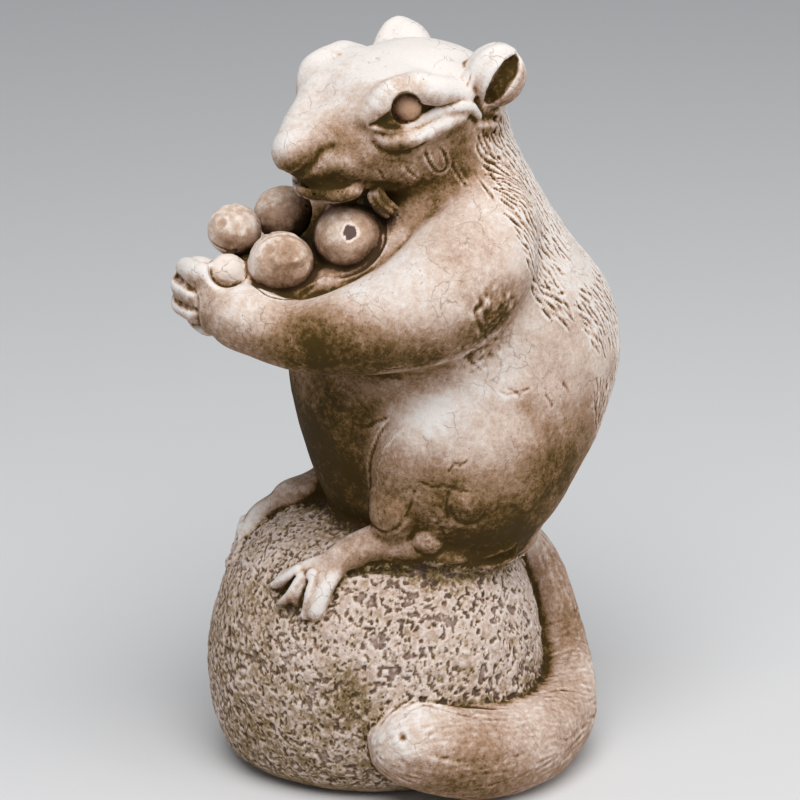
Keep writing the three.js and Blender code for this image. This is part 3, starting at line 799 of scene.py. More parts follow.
def groove(across, edge, spread):
    """Depth of a cut at places some widths from its middle, with raised edges of a share of its depth."""
    return np.exp(-(across**2)) - edge * np.exp(-((across - EDGE_AT) ** 2) / spread)


class Carver:
    """Collects how far each point of the skin is cut in or raised, and then moves it."""

    def __init__(self, skin):
        self.skin = skin
        self.amount = np.zeros(len(skin.points))
        self.tree = kdtree.KDTree(len(skin.points))
        for i, point in enumerate(skin.points):
            self.tree.insert(point, i)
        self.tree.balance()
        self.facing = skin.normals()

    def around(self, place, reach):
        """Indices of the points within reach of a place."""
        return np.array([i for _, i, _ in self.tree.find_range(place, reach)], int)

    def line(self, path, width, depth, edge):
        """Cuts a groove along a path, with raised edges of a share of its depth."""
        line = dense(path, LINE_STEP)
        reach = LINE_REACH * width + LINE_SPARE
        low, high = line.min(0) - reach, line.max(0) + reach
        near = np.flatnonzero(np.all((self.skin.points > low) & (self.skin.points < high), 1))
        gap, share = line_distance(self.skin.points[near], line)
        ends = smoothstep(0, LINE_TAPER, share) * smoothstep(0, LINE_TAPER, 1 - share)
        profile = groove(gap / width, edge, LINE_EDGE_SPREAD)
        self.amount[near] -= depth * profile * (LINE_END + (1 - LINE_END) * ends)

    def bump(self, place, radius, height):
        """Raises a round lump, or sinks a dent where the height is below zero."""
        near = self.around(place, BUMP_REACH * radius)
        points = self.skin.points[near]
        gap = np.linalg.norm((points - np.asarray(place)) / radius, axis=1)
        gap *= 1 + BUMP_NOISE * rough_noise(points, BUMP_NOISE_SIZE, NOISE_SEED["bump"], 2)
        self.amount[near] += height * np.clip(1 - gap**2, 0, 1) ** BUMP_POWER

    def stroke(self, place, along, length, width, depth):
        """Cuts one short gouge with raised edges."""
        near = self.around(place, length / 2 + STROKE_SIDES * width)
        if len(near) == 0:
            return
        normal = self.facing[near[0]]
        along = along - normal * (along @ normal)
        along = along / max(np.linalg.norm(along), 1e-6)
        side = np.cross(normal, along)
        arm = self.skin.points[near] - np.asarray(place)
        share = np.clip(1 - (2 * (arm @ along) / length) ** 2, 0, 1)
        across = np.abs(arm @ side) / (width * (STROKE_END + (1 - STROKE_END) * share))
        cut = groove(across, STROKE_EDGE, STROKE_EDGE_SPREAD)
        fits = np.abs(arm @ normal) < STROKE_THICKNESS
        self.amount[near] -= depth * cut * np.sqrt(share) * fits

    def apply(self):
        """Moves the skin and forgets the cuts."""
        self.skin.push(self.amount)
        self.amount = np.zeros(len(self.skin.points))
        self.facing = self.skin.normals()


# Fur: the edge of its band on this side in pixels, which way it runs at some heights, and its gouges
FUR_EDGE = [(478, 138), (490, 175), (505, 205), (520, 235), (528, 262), (532, 290), (545, 315), (575, 330),
            (588, 345), (592, 380), (598, 430), (596, 475), (700, 475), (700, 100), (520, 100), (500, 128)]
FUR_HEIGHTS = (128.0, 140.0, 152.0, 170.0)
FUR_BACKWARDS = (0.15, 0.75, 0.7, 0.5)
FUR_SEED = 1
FUR_SPACING = 2.5
FUR_STRAY = 0.16
FUR_LENGTH = 6.0
FUR_LENGTH_SHARES = (0.6, 1.3)
FUR_WIDTH = 0.55
FUR_DEPTH = 0.32
FUR_DEPTH_SHARES = (0.5, 1.1)

# Where the fur is bare: a patch on each shoulder blade, and gaps where a noise is low
FUR_BARE_PIXEL = (582, 258)
FUR_BARE_RADIUS = 7.5
FUR_GAP_SIZE = 14.0
FUR_GAP_LEVEL = -0.6

# Deepest gouges of the fur: their depth, and the distances from the torso's solid and from other nodes
GOUGE_DEPTH = 0.8
GOUGE_GAP = (0.45, 1.0)
GOUGE_CLEAR = (3.0, 5.0)

# Lines of hair and wrinkles on the face and neck: pixels, width, depth and share of raised edge
FACE_LINES = [
    ([(425, 150), (429, 161), (436, 170), (443, 171), (447, 164), (444, 153), (440, 147)], 0.5, 0.4, 0.6),
    ([(452, 164), (458, 174), (466, 186)], 0.5, 0.3, 0.5),
    ([(378, 168), (382, 174), (384, 180)], 0.45, 0.25, 0.4),
    ([(405, 165), (411, 172), (419, 178)], 0.45, 0.25, 0.4),
    ([(478, 140), (480, 152), (488, 162), (498, 164)], 0.55, 0.4, 0.5),
    ([(484, 137), (488, 148), (495, 157), (502, 158)], 0.55, 0.4, 0.5),
    ([(492, 136), (497, 144), (503, 150)], 0.5, 0.35, 0.5),
    ([(486, 166), (494, 178), (503, 190)], 0.5, 0.3, 0.4),
    ([(474, 170), (484, 186), (494, 200)], 0.5, 0.3, 0.4),
    ([(469, 66), (470, 76), (468, 86)], 0.45, 0.3, 0),
]

# Lips of stone between the nuts and the arm
NEST_LINES = [
    ([(384, 220), (385, 238), (379, 254), (367, 267), (350, 275), (333, 278)], 0.6, 0.5, 0.3),
    ([(316, 284), (303, 293), (284, 298), (266, 294), (254, 284)], 0.6, 0.5, 0.3),
]

# Rims and rings of the nuts, and their dents by pixel, radius and height
NUT_LINES = [
    ([(255, 254), (264, 241), (284, 236), (303, 242), (311, 253)], 0.6, 0.15, 0),
    ([(372, 214), (380, 227), (380, 244), (371, 259)], 0.5, 0.35, 0.3),
    ([(258, 221), (263, 228), (270, 233)], 0.5, 0.3, 0.3),
    ([(299, 195), (307, 206), (309, 219)], 0.5, 0.3, 0.3),
    ([(209, 239), (221, 248), (240, 250)], 0.5, 0.3, 0),
]
NUT_DENTS = [
    ((223, 263), 2.4, -0.7),
    ((268, 250), 2.5, -0.4),
    ((300, 268), 3.0, -0.4),
    ((222, 222), 2.0, -0.3),
]

# Edge of the broken stone at the elbow
ELBOW_LINES = [
    ([(478, 294), (481, 304), (476, 312), (480, 325), (485, 339)], 0.8, 0.3, 0.3),
]

# Tail: its lines, the dent near its end, the ways that its hair runs low and high on it, and its strokes
TAIL_LINES = [
    ([(405, 741), (440, 757), (485, 762), (530, 752)], 0.7, 0.2, 0),
    ([(398, 692), (430, 700), (470, 707), (510, 708)], 0.6, 0.25, 0.3),
    ([(415, 700), (450, 712), (490, 719), (530, 717)], 0.6, 0.2, 0),
]
TAIL_DENTS = [((402, 737), 1.9, -0.8)]
TAIL_FLOW = np.array([0.0, -1.0, 0.0])
TAIL_ROOT_FLOW = np.array([0.0, 0.3, -1.0])
TAIL_TURN = (30.0, 55.0)
TAIL_SEED = 2
TAIL_STROKE_SEED = 3
TAIL_SPACING = 5.0
TAIL_STRAY = 0.12
TAIL_LENGTHS = (6, 11)
TAIL_WIDTH = 0.6
TAIL_DEPTHS = (0.04, 0.14)
TAIL_LUMPS = 0.4
TAIL_LUMP_SIZE = 6.0

# Cracks on the flank and the haunch
CRACKS = [
    [(447, 476), (450, 470), (455, 465), (462, 464), (470, 459)],
    [(409, 480), (420, 482), (432, 487), (445, 486), (460, 490), (479, 492)],
    [(450, 488), (448, 498), (446, 510), (449, 520)],
    [(416, 488), (412, 500), (405, 520)],
    [(506, 388), (515, 391), (522, 397)],
    [(545, 394), (550, 400), (553, 408)],
    [(562, 382), (566, 388), (569, 395)],
    [(461, 345), (470, 360), (484, 372)],
    [(495, 390), (508, 394), (520, 392), (532, 388)],
    [(352, 424), (366, 427), (378, 421), (391, 417)],
]
CRACK_WIDTH = 0.6
CRACK_DEPTH = 0.26

# Patches that the weather has eaten: pixel, radius and depth
WORN_PATCHES = [
    ((497, 318), 9, 1.3),
    ((478, 350), 7, 0.9),
    ((440, 530), 9, 0.7),
    ((410, 172), 8, 0.5),
    ((492, 120), 6, 0.8),
]
WORN_GRAIN = 3.2

# Lumps of the whole skin, of the nuts and, as a share, of the eyes
LUMP_HEIGHT = 0.35
LUMP_SIZE = 11.0
NUT_LUMP_HEIGHT = 0.3
NUT_LUMP_SIZE = 4.0
EYE_LUMP_SHARE = 0.3

# Pits of the boulder. They become finer towards its front, and keep clear of other nodes and of the floor.
PIT_SIZE = 1.6
PIT_EDGE = (0.02, -0.38)
PIT_WARP = 0.6
PIT_WARP_SIZE = 1.9
PIT_DRIFT = 0.12
PIT_DRIFT_SIZE = 12.0
PIT_DEPTH = 0.6
PIT_CLEAR = (0.3, 1.6)
PIT_HEIGHTS = (2.0, 7.0)
FINE_PIT_SIZE = 1.3
FINE_PITS = (-22.0, -42.0)
FINE_PIT_LOSS = 0.25
LARGE_PIT = 0.8
LARGE_PIT_FLOOR = (0.4, 1.3)
LARGE_PIT_END = (3.0, 2.0)
LARGE_PIT_LEVEL = (0.45, -0.05)

# Rough ridges of the boulder, and its share of grime and painted shade, which is full in the seams with
# other nodes, where painted shade darkens the contact
RIDGE_RISE = 0.35
ROCK_GRAIN = 0.5
ROCK_GRAIN_SIZE = 2.6
ROCK_GRIME_AND_SHADE = 0.6
ROCK_SEAM = (4.0, 1.0)

# Scar on the nut that leans on the chest
SCAR_PIXEL = (352, 232)
SCAR_RADIUS = 1.9
SCAR_EDGE = 0.3
SCAR_DEPTH = 0.45
SCAR_NOISE = 0.45
SCAR_NOISE_SIZE = 1.6


def in_polygon(column, row, corners):
    """Which pixels lie within a polygon."""
    inside = np.zeros(len(column), bool)
    for (x0, y0), (x1, y1) in zip(corners, corners[1:] + corners[:1]):
        if y0 == y1:
            continue
        crosses = (row > min(y0, y1)) & (row <= max(y0, y1))
        inside ^= crosses & (column < x0 + (row - y0) * (x1 - x0) / (y1 - y0))
    return inside


def thin_out(points, chosen, spacing, seed):
    """One of the chosen points in each cell of a lattice of this spacing."""
    order = np.random.default_rng(SEED + seed).permutation(chosen)
    cells = np.floor(points[order] / spacing).astype(int)
    _, firsts = np.unique(cells, axis=0, return_index=True)
    return order[firsts]


def carve_fur(carver, photo, label):
    """Gouges the fur of the nape and the back, and leaves the bare patch of each shoulder blade."""
    points = carver.skin.points
    near_side = folded(points)
    column, row, _ = to_pixels(near_side)
    bare = np.linalg.norm(near_side - photo.place(*FUR_BARE_PIXEL), axis=1) < FUR_BARE_RADIUS
    furry = on_nodes(label, *BODY_NODES, "head")
    chosen = np.flatnonzero(furry & ~bare & in_polygon(column, row, FUR_EDGE))
    rng = np.random.default_rng(SEED)
    for i in thin_out(points, chosen, FUR_SPACING, FUR_SEED):
        if noise(points[i : i + 1], FUR_GAP_SIZE, NOISE_SEED["fur"])[0] < FUR_GAP_LEVEL:
            continue
        backwards = np.interp(points[i, 2], FUR_HEIGHTS, FUR_BACKWARDS)
        flow = np.array([0, backwards, -((1 - backwards**2) ** 0.5)]) + rng.normal(0, FUR_STRAY, 3)
        length = FUR_LENGTH * rng.uniform(*FUR_LENGTH_SHARES)
        carver.stroke(points[i], flow, length, FUR_WIDTH, FUR_DEPTH * rng.uniform(*FUR_DEPTH_SHARES))


def carve_lines(carver, photo, lines, mirror=None):
    """Cuts lines on this side, and on the far side where there is a mirror."""
    for pixels, width, depth, edge in lines:
        path = photo.path(pixels)
        carver.line(path, width, depth, edge)
        if mirror:
            carver.line(photo.snap(mirror(path)), width, depth, edge)


def raise_bumps(carver, photo, bumps, mirror=None):
    """Raises swells or sinks dents on this side, and on the far side where there is a mirror."""
    for pixel, radius, height in bumps:
        places = [photo.place(*pixel)]
        if mirror:
            places.append(photo.snap(mirror(places[0][None]))[0])
        for place in places:
            carver.bump(place, radius, height)


def roughen(carver, photo):
    """Eats away the worn patches of the body."""
    points = carver.skin.points
    grain = rough_noise(points, WORN_GRAIN, NOISE_SEED["worn"])
    for pixel, radius, depth in WORN_PATCHES:
        place = photo.place(*pixel)
        for centre in (place, body_mirror(place)):
            near = np.exp(-(np.sum((points - centre) ** 2, 1) / radius**2))
            carver.amount += depth * near * grain


def carve_tail(carver, photo, label):
    """Cuts the hair of the tail and the dent near its end."""
    points = carver.skin.points
    tail = np.flatnonzero(on_nodes(label, "tail"))
    rng = np.random.default_rng(SEED + TAIL_STROKE_SEED)
    for i in thin_out(points, tail, TAIL_SPACING, TAIL_SEED):
        steep = smoothstep(*TAIL_TURN, points[i, 2])
        flow = (1 - steep) * TAIL_FLOW + steep * TAIL_ROOT_FLOW + rng.normal(0, TAIL_STRAY, 3)
        carver.stroke(points[i], flow, rng.uniform(*TAIL_LENGTHS), TAIL_WIDTH, rng.uniform(*TAIL_DEPTHS))
    carver.amount[tail] += TAIL_LUMPS * rough_noise(points[tail], TAIL_LUMP_SIZE, NOISE_SEED["tail"])
    carve_lines(carver, photo, TAIL_LINES)
    raise_bumps(carver, photo, TAIL_DENTS)


def carve_scar(carver, photo):
    """Sinks the flat scar of the nut on the chest and returns where it is."""
    points = carver.skin.points
    gap = np.linalg.norm(points - photo.place(*SCAR_PIXEL), axis=1)
    gap *= 1 + SCAR_NOISE * noise(points, SCAR_NOISE_SIZE, NOISE_SEED["scar"])
    scar = smoothstep(SCAR_RADIUS + SCAR_EDGE, SCAR_RADIUS - SCAR_EDGE, gap)
    carver.amount -= SCAR_DEPTH * scar
    return scar


def pit_depth(points, solid):
    """How deep in a pit each point of the boulder lies, from 0 on a ridge to 1 on a pit's floor."""
    shifts = [noise(points, PIT_WARP_SIZE, NOISE_SEED["warp"] + i) for i in range(3)]
    warped = points + PIT_WARP * np.stack(shifts, 1)
    finer = smoothstep(*FINE_PITS, points[:, 1])
    coarse = rough_noise(warped, PIT_SIZE, NOISE_SEED["pit"], 2)
    fine = rough_noise(warped, FINE_PIT_SIZE, NOISE_SEED["fine_pit"], 2)
    drift = PIT_DRIFT * noise(points, PIT_DRIFT_SIZE, NOISE_SEED["drift"])
    level = coarse + finer * (fine - coarse) + drift
    gap = sample(*solid, warped, FAR)
    within = smoothstep(*LARGE_PIT_FLOOR, gap) * smoothstep(*LARGE_PIT_END, gap)
    largest = LARGE_PIT * within * smoothstep(*LARGE_PIT_LEVEL, level)
    return np.maximum(smoothstep(*PIT_EDGE, level), largest) * (1 - FINE_PIT_LOSS * finer)


def carve_boulder(skin, carver, label, distances, solid):
    """Eats pits into the boulder and returns where they are."""
    rock = np.flatnonzero(on_nodes(label, "boulder"))
    points = skin.points[rock]
    open_face = smoothstep(*PIT_CLEAR, clearance(distances, rock, "boulder"))
    open_face = open_face * smoothstep(*PIT_HEIGHTS, points[:, 2])
    pits = pit_depth(points, solid) * open_face
    grain = ROCK_GRAIN * rough_noise(points, ROCK_GRAIN_SIZE, NOISE_SEED["rock"])
    carver.amount[rock] += (PIT_DEPTH * (RIDGE_RISE - pits) + grain) * open_face
    marks = np.zeros(len(skin.points))
    marks[rock] = pits
    return marks


def carve_gouges(skin, carver, label, distances, solid):
    """Cuts the deepest gouges of the fur where the torso's solid has them."""
    fur = np.flatnonzero(on_nodes(label, "torso"))
    gap = sample(*solid, skin.points[fur], FAR)
    clear = smoothstep(*GOUGE_CLEAR, clearance(distances, fur, "torso"))
    carver.amount[fur] -= GOUGE_DEPTH * smoothstep(*GOUGE_GAP, gap) * clear


def carve(skin, label, distances, fields):
    """All the fine carving, down to the flat underside. Returns the marks of the pits and the scar."""
    carver, photo = Carver(skin), Photo(skin)
    lumps = LUMP_HEIGHT * rough_noise(skin.points, LUMP_SIZE, NOISE_SEED["lump"])
    nut_lumps = NUT_LUMP_HEIGHT * rough_noise(skin.points, NUT_LUMP_SIZE, NOISE_SEED["nut"], 2)
    lumps += on_nodes(label, *NUT_SHARE) * nut_lumps
    carver.amount += np.where(on_nodes(label, *EYES), EYE_LUMP_SHARE, 1.0) * lumps
    carver.apply()
    raise_bumps(carver, photo, SWELLS, body_mirror)
    roughen(carver, photo)
    carver.apply()
    carve_fur(carver, photo, label)
    carve_gouges(skin, carver, label, distances, fields["torso"])
    carve_lines(carver, photo, FACE_LINES, head_mirror)
    carve_lines(carver, photo, NEST_LINES + NUT_LINES)
    raise_bumps(carver, photo, NUT_DENTS)
    carve_lines(carver, photo, KNUCKLE_LINES + ELBOW_LINES, body_mirror)
    carve_lines(carver, photo, [(crack, CRACK_WIDTH, CRACK_DEPTH, 0.0) for crack in CRACKS], body_mirror)
    carve_tail(carver, photo, label)
    pits = carve_boulder(skin, carver, label, distances, fields["boulder"])
    pits = np.maximum(pits, carve_scar(carver, photo))
    carver.apply()
    skin.points[:, 2] = np.maximum(skin.points[:, 2], 0)
    return pits


# Attributes that the materials read. Crowding uses every third value of the lattice, with room round them.
CROWD_STEP = 3
CROWD_PAD = 8
CROWD_LIFT = 0.5
CLOSE_REACH = 5.0
WIDE_REACH = 16.0
FINE_ROUNDS = 3
BROAD_ROUNDS = 30

# Causes of grime, painted shade and wear: strength, and the values of a measure between which it grows.
# Grime gathers in the fine and broad hollows; crowding by stone close and wide round a point, and facing
# downwards, paint the shade of recesses and undersides.
GRIME_AND_SHADE = {
    "fine": (0.75, 0.01, 0.14),
    "broad": (0.5, 0.1, 0.8),
    "close": (0.8, 0.55, 0.85),
    "wide": (0.7, 0.5, 0.8),
    "upward": (0.35, 0.5, -0.6),
}
WEAR = {"fine": (1.0, 0.0, 0.1), "broad": (0.5, 0.05, 0.6)}
PALEST_LEVEL = -0.2


def box_blur(values, radius):
    """Three passes of a moving mean along each axis, close to a round blur."""
    for axis in range(3):
        for _ in range(3):
            pad = [(radius + 1, radius) if i == axis else (0, 0) for i in range(3)]
            total = np.cumsum(np.pad(values, pad, mode="edge"), axis=axis, dtype=np.float32)
            size = values.shape[axis]
            high = np.take(total, np.arange(2 * radius + 1, 2 * radius + 1 + size), axis)
            low = np.take(total, np.arange(size), axis)
            values = (high - low) / (2 * radius + 1)
    return values


def crowding(whole, first, points, normals, reach):
    """How much stone lies within reach of each point: near 0.5 on a flat face, more in a hollow."""
    cell = CROWD_STEP * VOXEL
    filled = np.clip(0.5 - whole / cell, 0, 1)[::CROWD_STEP, ::CROWD_STEP, ::CROWD_STEP]
    filled = box_blur(np.pad(filled, CROWD_PAD), max(1, round(reach / (3**0.5 * cell))))
    place = (points + CROWD_LIFT * normals) / CROWD_STEP - first * VOXEL / CROWD_STEP + CROWD_PAD * VOXEL
    return sample(filled, np.zeros(3, int), place, 0.0)


# Brown stain and painted shade that lie on parts of the statue, the shade in recesses such as the ear, the
# eye's corner, under the chin, under the arm and in the crease under the haunch, and lighter spots where the
# strength is below zero, on the forehead a painted highlight: pixel, radius and strength
STAINS_AND_PAINTED_LIGHT = [
    ((415, 168), 14, 0.2), ((372, 168), 9, 0.25), ((400, 145), 6, 0.3), ((386, 121), 4, 1.2),
    ((300, 162), 6, 0.5), ((320, 152), 6, 0.3), ((325, 182), 8, 0.5), ((325, 196), 7, 0.6),
    ((306, 186), 6, 0.5), ((345, 191), 8, 0.5), ((290, 174), 6, 0.6), ((350, 142), 8, 0.25),
    ((385, 203), 8, 0.9), ((460, 160), 12, 0.4), ((494, 122), 7, 0.5), ((509, 72), 4.5, 1.5),
    ((498, 91), 4.5, 1.3), ((440, 200), 12, 0.2), ((330, 400), 30, 0.55), ((330, 470), 26, 0.7),
    ((300, 340), 15, 0.75), ((400, 355), 18, 0.22), ((430, 360), 9, 0.4), ((350, 350), 15, 0.5),
    ((440, 525), 22, 0.38), ((495, 520), 12, 0.16), ((520, 505), 12, 0.14), ((500, 540), 16, 0.35),
    ((560, 470), 26, 0.6), ((525, 398), 9, 0.15), ((440, 482), 10, 0.3), ((398, 124), 3, 0.8),
    ((282, 264), 9, 0.25), ((430, 704), 9, -0.15), ((480, 738), 22, 0.17), ((560, 730), 18, 0.2),
    ((500, 318), 9, 0.4), ((384, 510), 9, 0.35), ((467, 503), 9, 0.25), ((466, 557), 9, 0.4),
    ((400, 573), 6, 0.6), ((430, 572), 6, 1.5), ((450, 571), 6, 0.7), ((470, 568), 6, 0.6),
    ((505, 556), 7, 0.6), ((520, 548), 8, 1.5), ((555, 560), 14, 0.35), ((420, 55), 18, -0.3),
    ((400, 85), 9, 0.3), ((340, 120), 9, 0.17), ((360, 92), 9, 0.15), ((332, 140), 7, 0.22),
    ((395, 160), 7, 0.25), ((460, 132), 6, 0.3), ((480, 250), 16, 0.15), ((560, 330), 16, 0.12),
    ((520, 190), 16, 0.25), ((450, 250), 20, 0.12), ((205, 300), 15, 0.3), ((430, 432), 12, -0.15),
    ((490, 325), 13, 0.5), ((296, 600), 10, 0.25), ((350, 558), 12, 0.25), ((225, 650), 30, 0.1),
    ((250, 620), 20, 0.3), ((350, 700), 10, 0.6), ((420, 620), 22, 0.15), ((240, 745), 34, 0.25),
    ((330, 775), 34, 0.12), ((480, 775), 28, 0.35), ((570, 620), 18, 0.5), ((570, 690), 22, 0.3),
    ((236, 272), 8, -0.9),
]
SPOT_SPREAD = 0.75

# Shade between the two inner nuts and the chest, and on the arm behind them: depth and radius
SHADE_NUTS = ("nut_1", "nut_4")
SHADES = [(5.0, 9.0), (26.0, 13.0)]


def stain_and_painted_light(photo, points):
    """The brown stain, painted shade and painted highlights at each point, the same on both sides, and the
    painted shade behind the nuts.
    """
    total = np.zeros(len(points))
    near_side = folded(points)
    for pixel, radius, strength in STAINS_AND_PAINTED_LIGHT:
        gap = np.linalg.norm(near_side - photo.place(*pixel), axis=1) / radius
        total += strength * np.exp(-((gap / SPOT_SPREAD) ** 2))
    between = sum(node_middle(name) for name in SHADE_NUTS) / 2
    for depth, radius in SHADES:
        gap = np.linalg.norm(points - between + depth * camera_axes()[2], axis=1) / radius
        total += np.exp(-(gap**2))
    return total


def hollow(skin, normals, rounds):
    """How far each point lies below the mean of what is round it."""
    weight = np.full(len(skin.points), EVEN_PULL)
    return np.sum((skin.relaxed(skin.points, weight, rounds) - skin.points) * normals, 1)


def gathered(causes, measures):
    """The sum of what each cause brings."""
    return sum(share * smoothstep(low, high, measures[key]) for key, (share, low, high) in causes.items())


def surface_marks(skin, whole, first, pit):
    """Grime in the hollows with painted shade in crowded places and on faces turned down, below 0 where
    lighter spots, among them painted highlights, make the stone palest, wear on the ridges, and the pits.
    """
    normals = skin.normals()
    fine = hollow(skin, normals, FINE_ROUNDS)
    broad = hollow(skin, normals, BROAD_ROUNDS)
    close = crowding(whole, first, skin.points, normals, CLOSE_REACH)
    wide = crowding(whole, first, skin.points, normals, WIDE_REACH)
    measures = {"fine": fine, "broad": broad, "close": close, "wide": wide, "upward": normals[:, 2]}
    # Painted shade of crowded places, of faces turned down and of listed spots joins the grime here, and
    # painted highlights lighten it.
    grime_and_shade = gathered(GRIME_AND_SHADE, measures) + stain_and_painted_light(Photo(skin), skin.points)
    wear = gathered(WEAR, {"fine": -fine, "broad": -broad})
    return {"grime_and_shade": np.clip(grime_and_shade, PALEST_LEVEL, 1), "wear": np.clip(wear, 0, 1), "pit": pit}


# Pieces, and how their edges are sunk and closed within the stone
LEAST_SINK = 0.4
SINKS = (1.0, 2.0)
SINK_CLEAR = 0.6
CAP_DEPTHS = (1.0, 3.0, 6.0, 10.0, 15.0)
CAP_CLEAR = 0.3
FAN_SHARES = np.linspace(0.1, 1.0, 6)
LABEL_ROUNDS = 4


def boundary_loops(quads):
    """Closed runs of the edges that only one face has."""
    start, end = quads.ravel(), np.roll(quads, -1, axis=1).ravel()
    size = quads.max() + 1
    keys = start * size + end
    open_edges = ~np.isin(keys, end * size + start)
    follow = {}
    for a, b in zip(start[open_edges].tolist(), end[open_edges].tolist()):
        follow.setdefault(a, []).append(b)
    loops = []
    while follow:
        first = next(iter(follow))
        loop, here = [], first
        while here in follow:
            loop.append(here)
            targets = follow[here]
            following = targets.pop()
            if not targets:
                del follow[here]
            here = following
        loops.append(loop)
    return loops


def sunk_ring(ring, facing, inside):
    """A ring of the surface moved into the stone, as far as it stays well within it."""
    sunk = ring - LEAST_SINK * facing
    for depth in SINKS:
        deeper = ring - depth * facing
        sunk = np.where((inside(deeper) < -SINK_CLEAR * depth)[:, None], deeper, sunk)
    return sunk


def cap_centre(ring, inward, inside):
    """A place within the stone from which a fan can close a ring."""
    tries = [ring.mean(0) + inward * depth for depth in CAP_DEPTHS]
    scores = []
    for place in tries:
        fan = np.vstack([ring + (place - ring) * share for share in FAN_SHARES])
        scores.append(np.count_nonzero(inside(fan) > -CAP_CLEAR))
    return tries[int(np.argmin(scores))]


def close_rings(points, facing, quads, inside):
    """Points and faces that close the open edges of a piece within the stone."""
    hidden, caps = np.empty((0, 3)), []
    for loop in boundary_loops(quads):
        ring = sunk_ring(points[loop], facing[loop], inside)
        centre = cap_centre(ring, -facing[loop].mean(0), inside)
        base = len(points) + len(hidden)
        hub = base + len(ring)
        hidden = np.vstack([hidden, ring, centre])
        after = [*range(base + 1, hub), base]
        for a, b, i, j in zip(loop, loop[1:] + loop[:1], range(base, hub), after):
            caps += [(b, a, i, j), (j, i, hub)]
    return hidden, caps


def make_piece(name, skin, faces, normals, marks, inside, material):
    """One node's part of the skin, closed within the stone, as an object."""
    used, quads = np.unique(faces, return_inverse=True)
    quads = quads.reshape(faces.shape)
    points, facing = skin.points[used], normals[used]
    hidden, caps = close_rings(points, facing, quads, inside)
    vertices = np.vstack([points, hidden]) / METRE
    data = bpy.data.meshes.new(name)
    data.from_pydata(vertices.tolist(), [], quads.tolist() + caps)
    for key, values in marks.items():
        spread = np.concatenate([values[used], np.ones(len(hidden))]).astype(np.float32)
        data.attributes.new(key, "FLOAT", "POINT").data.foreach_set("value", spread)
    data.shade_smooth()
    spare = np.tile([[0.0, 0.0, 1.0]], (len(hidden), 1))
    data.normals_split_custom_set_from_vertices(np.vstack([facing, spare]).tolist())
    data.materials.append(material)
    piece = bpy.data.objects.new(name, data)
    bpy.context.scene.collection.objects.link(piece)
    return piece


def settle_labels(skin, label):
    """Gives lone faces to the node that surrounds them, and returns one label for each face."""
    hot = np.eye(len(NAMES), dtype=np.float32)[label]
    hot = skin.relaxed(hot, EVEN_PULL, LABEL_ROUNDS)
    return np.argmax(hot[skin.quads].sum(1), 1)


# Materials
def linear(code):
    """A hex colour as Blender's linear numbers."""
    parts = [int(code[i : i + 2], 16) / 255 for i in (0, 2, 4)]
    return [c / 12.92 if c <= 0.04045 else ((c + 0.055) / 1.055) ** 2.4 for c in parts] + [1.0]


# Colours from worn and pale, where painted highlights lie, to brown and grimy, where painted shade lies
STONE_STOPS = [(0.0, "ded8d4"), (0.22, "cab6a8"), (0.36, "b59d8e"), (0.5, "9f8068"), (0.8, "6a502c"),
               (1.0, "40300f")]
ROCK_STOPS = [(0.0, "dcd0c8"), (0.27, "c9b4a8"), (0.52, "998163"), (0.8, "645332"), (1.0, "3c3018")]
NUT_STOPS = [(0.0, "e2d6ce"), (0.12, "d2c0b2"), (0.25, "b79b86"), (0.55, "8a6b54"), (1.0, "3f2e1a")]
EYE_STOPS = [(0.0, "b9947a"), (0.4, "9a7356"), (1.0, "4a3626")]
PIT_STOPS = [(0.0, "a8938a"), (0.5, "8b7468"), (1.0, "503e33")]
SCAR_COLOUR = "5f4d48"
CRACKLE_COLOUR = "5a4434"
PINHOLE_COLOUR = "4c392d"
ROCK_HOLE_COLOUR = "4a392f"

# How brown each stone is where it is clean, how strongly it is mottled, and how much it shines
STONE_BASE, STONE_GAIN = 0.05, 1.0
ROCK_BASE, ROCK_GAIN = 0.26, 1.4
NUT_BASE, NUT_GAIN = 0.23, 1.1
STONE_SHINE = 0.15

# How mottling, wear and specks shift the colour, and how rough and uneven the stones are
MOTTLE_IN_GRIME_AND_SHADE = 1.5
MOTTLE = 0.9
WEAR_SHIFT = 0.3
SPECK_SHIFT = 0.3
MOTTLE_RANGE = (0.3, 0.7)
STONE_ROUGHNESS = (0.92, 0.72)
ROCK_ROUGHNESS = (0.95, 0.78)
STONE_BUMP = 0.7
ROCK_BUMP = 0.8

# Feature sizes of the materials in millimetres
BROAD_MOTTLE = 11
FINE_MOTTLE = 1.7
SPECK = 0.7
CRACKLE_CELL = 9
CRACKLE_WIDTH = 0.2
CRACKLE_PATCH = 16
PINHOLE_CELL = 1.7
PINHOLE_PATCH = 7
STONE_GRAIN = 0.9
ROCK_HOLE_CELL = 1.6
ROCK_HOLE_PATCH = 5
ROCK_TEXTURE = 0.8


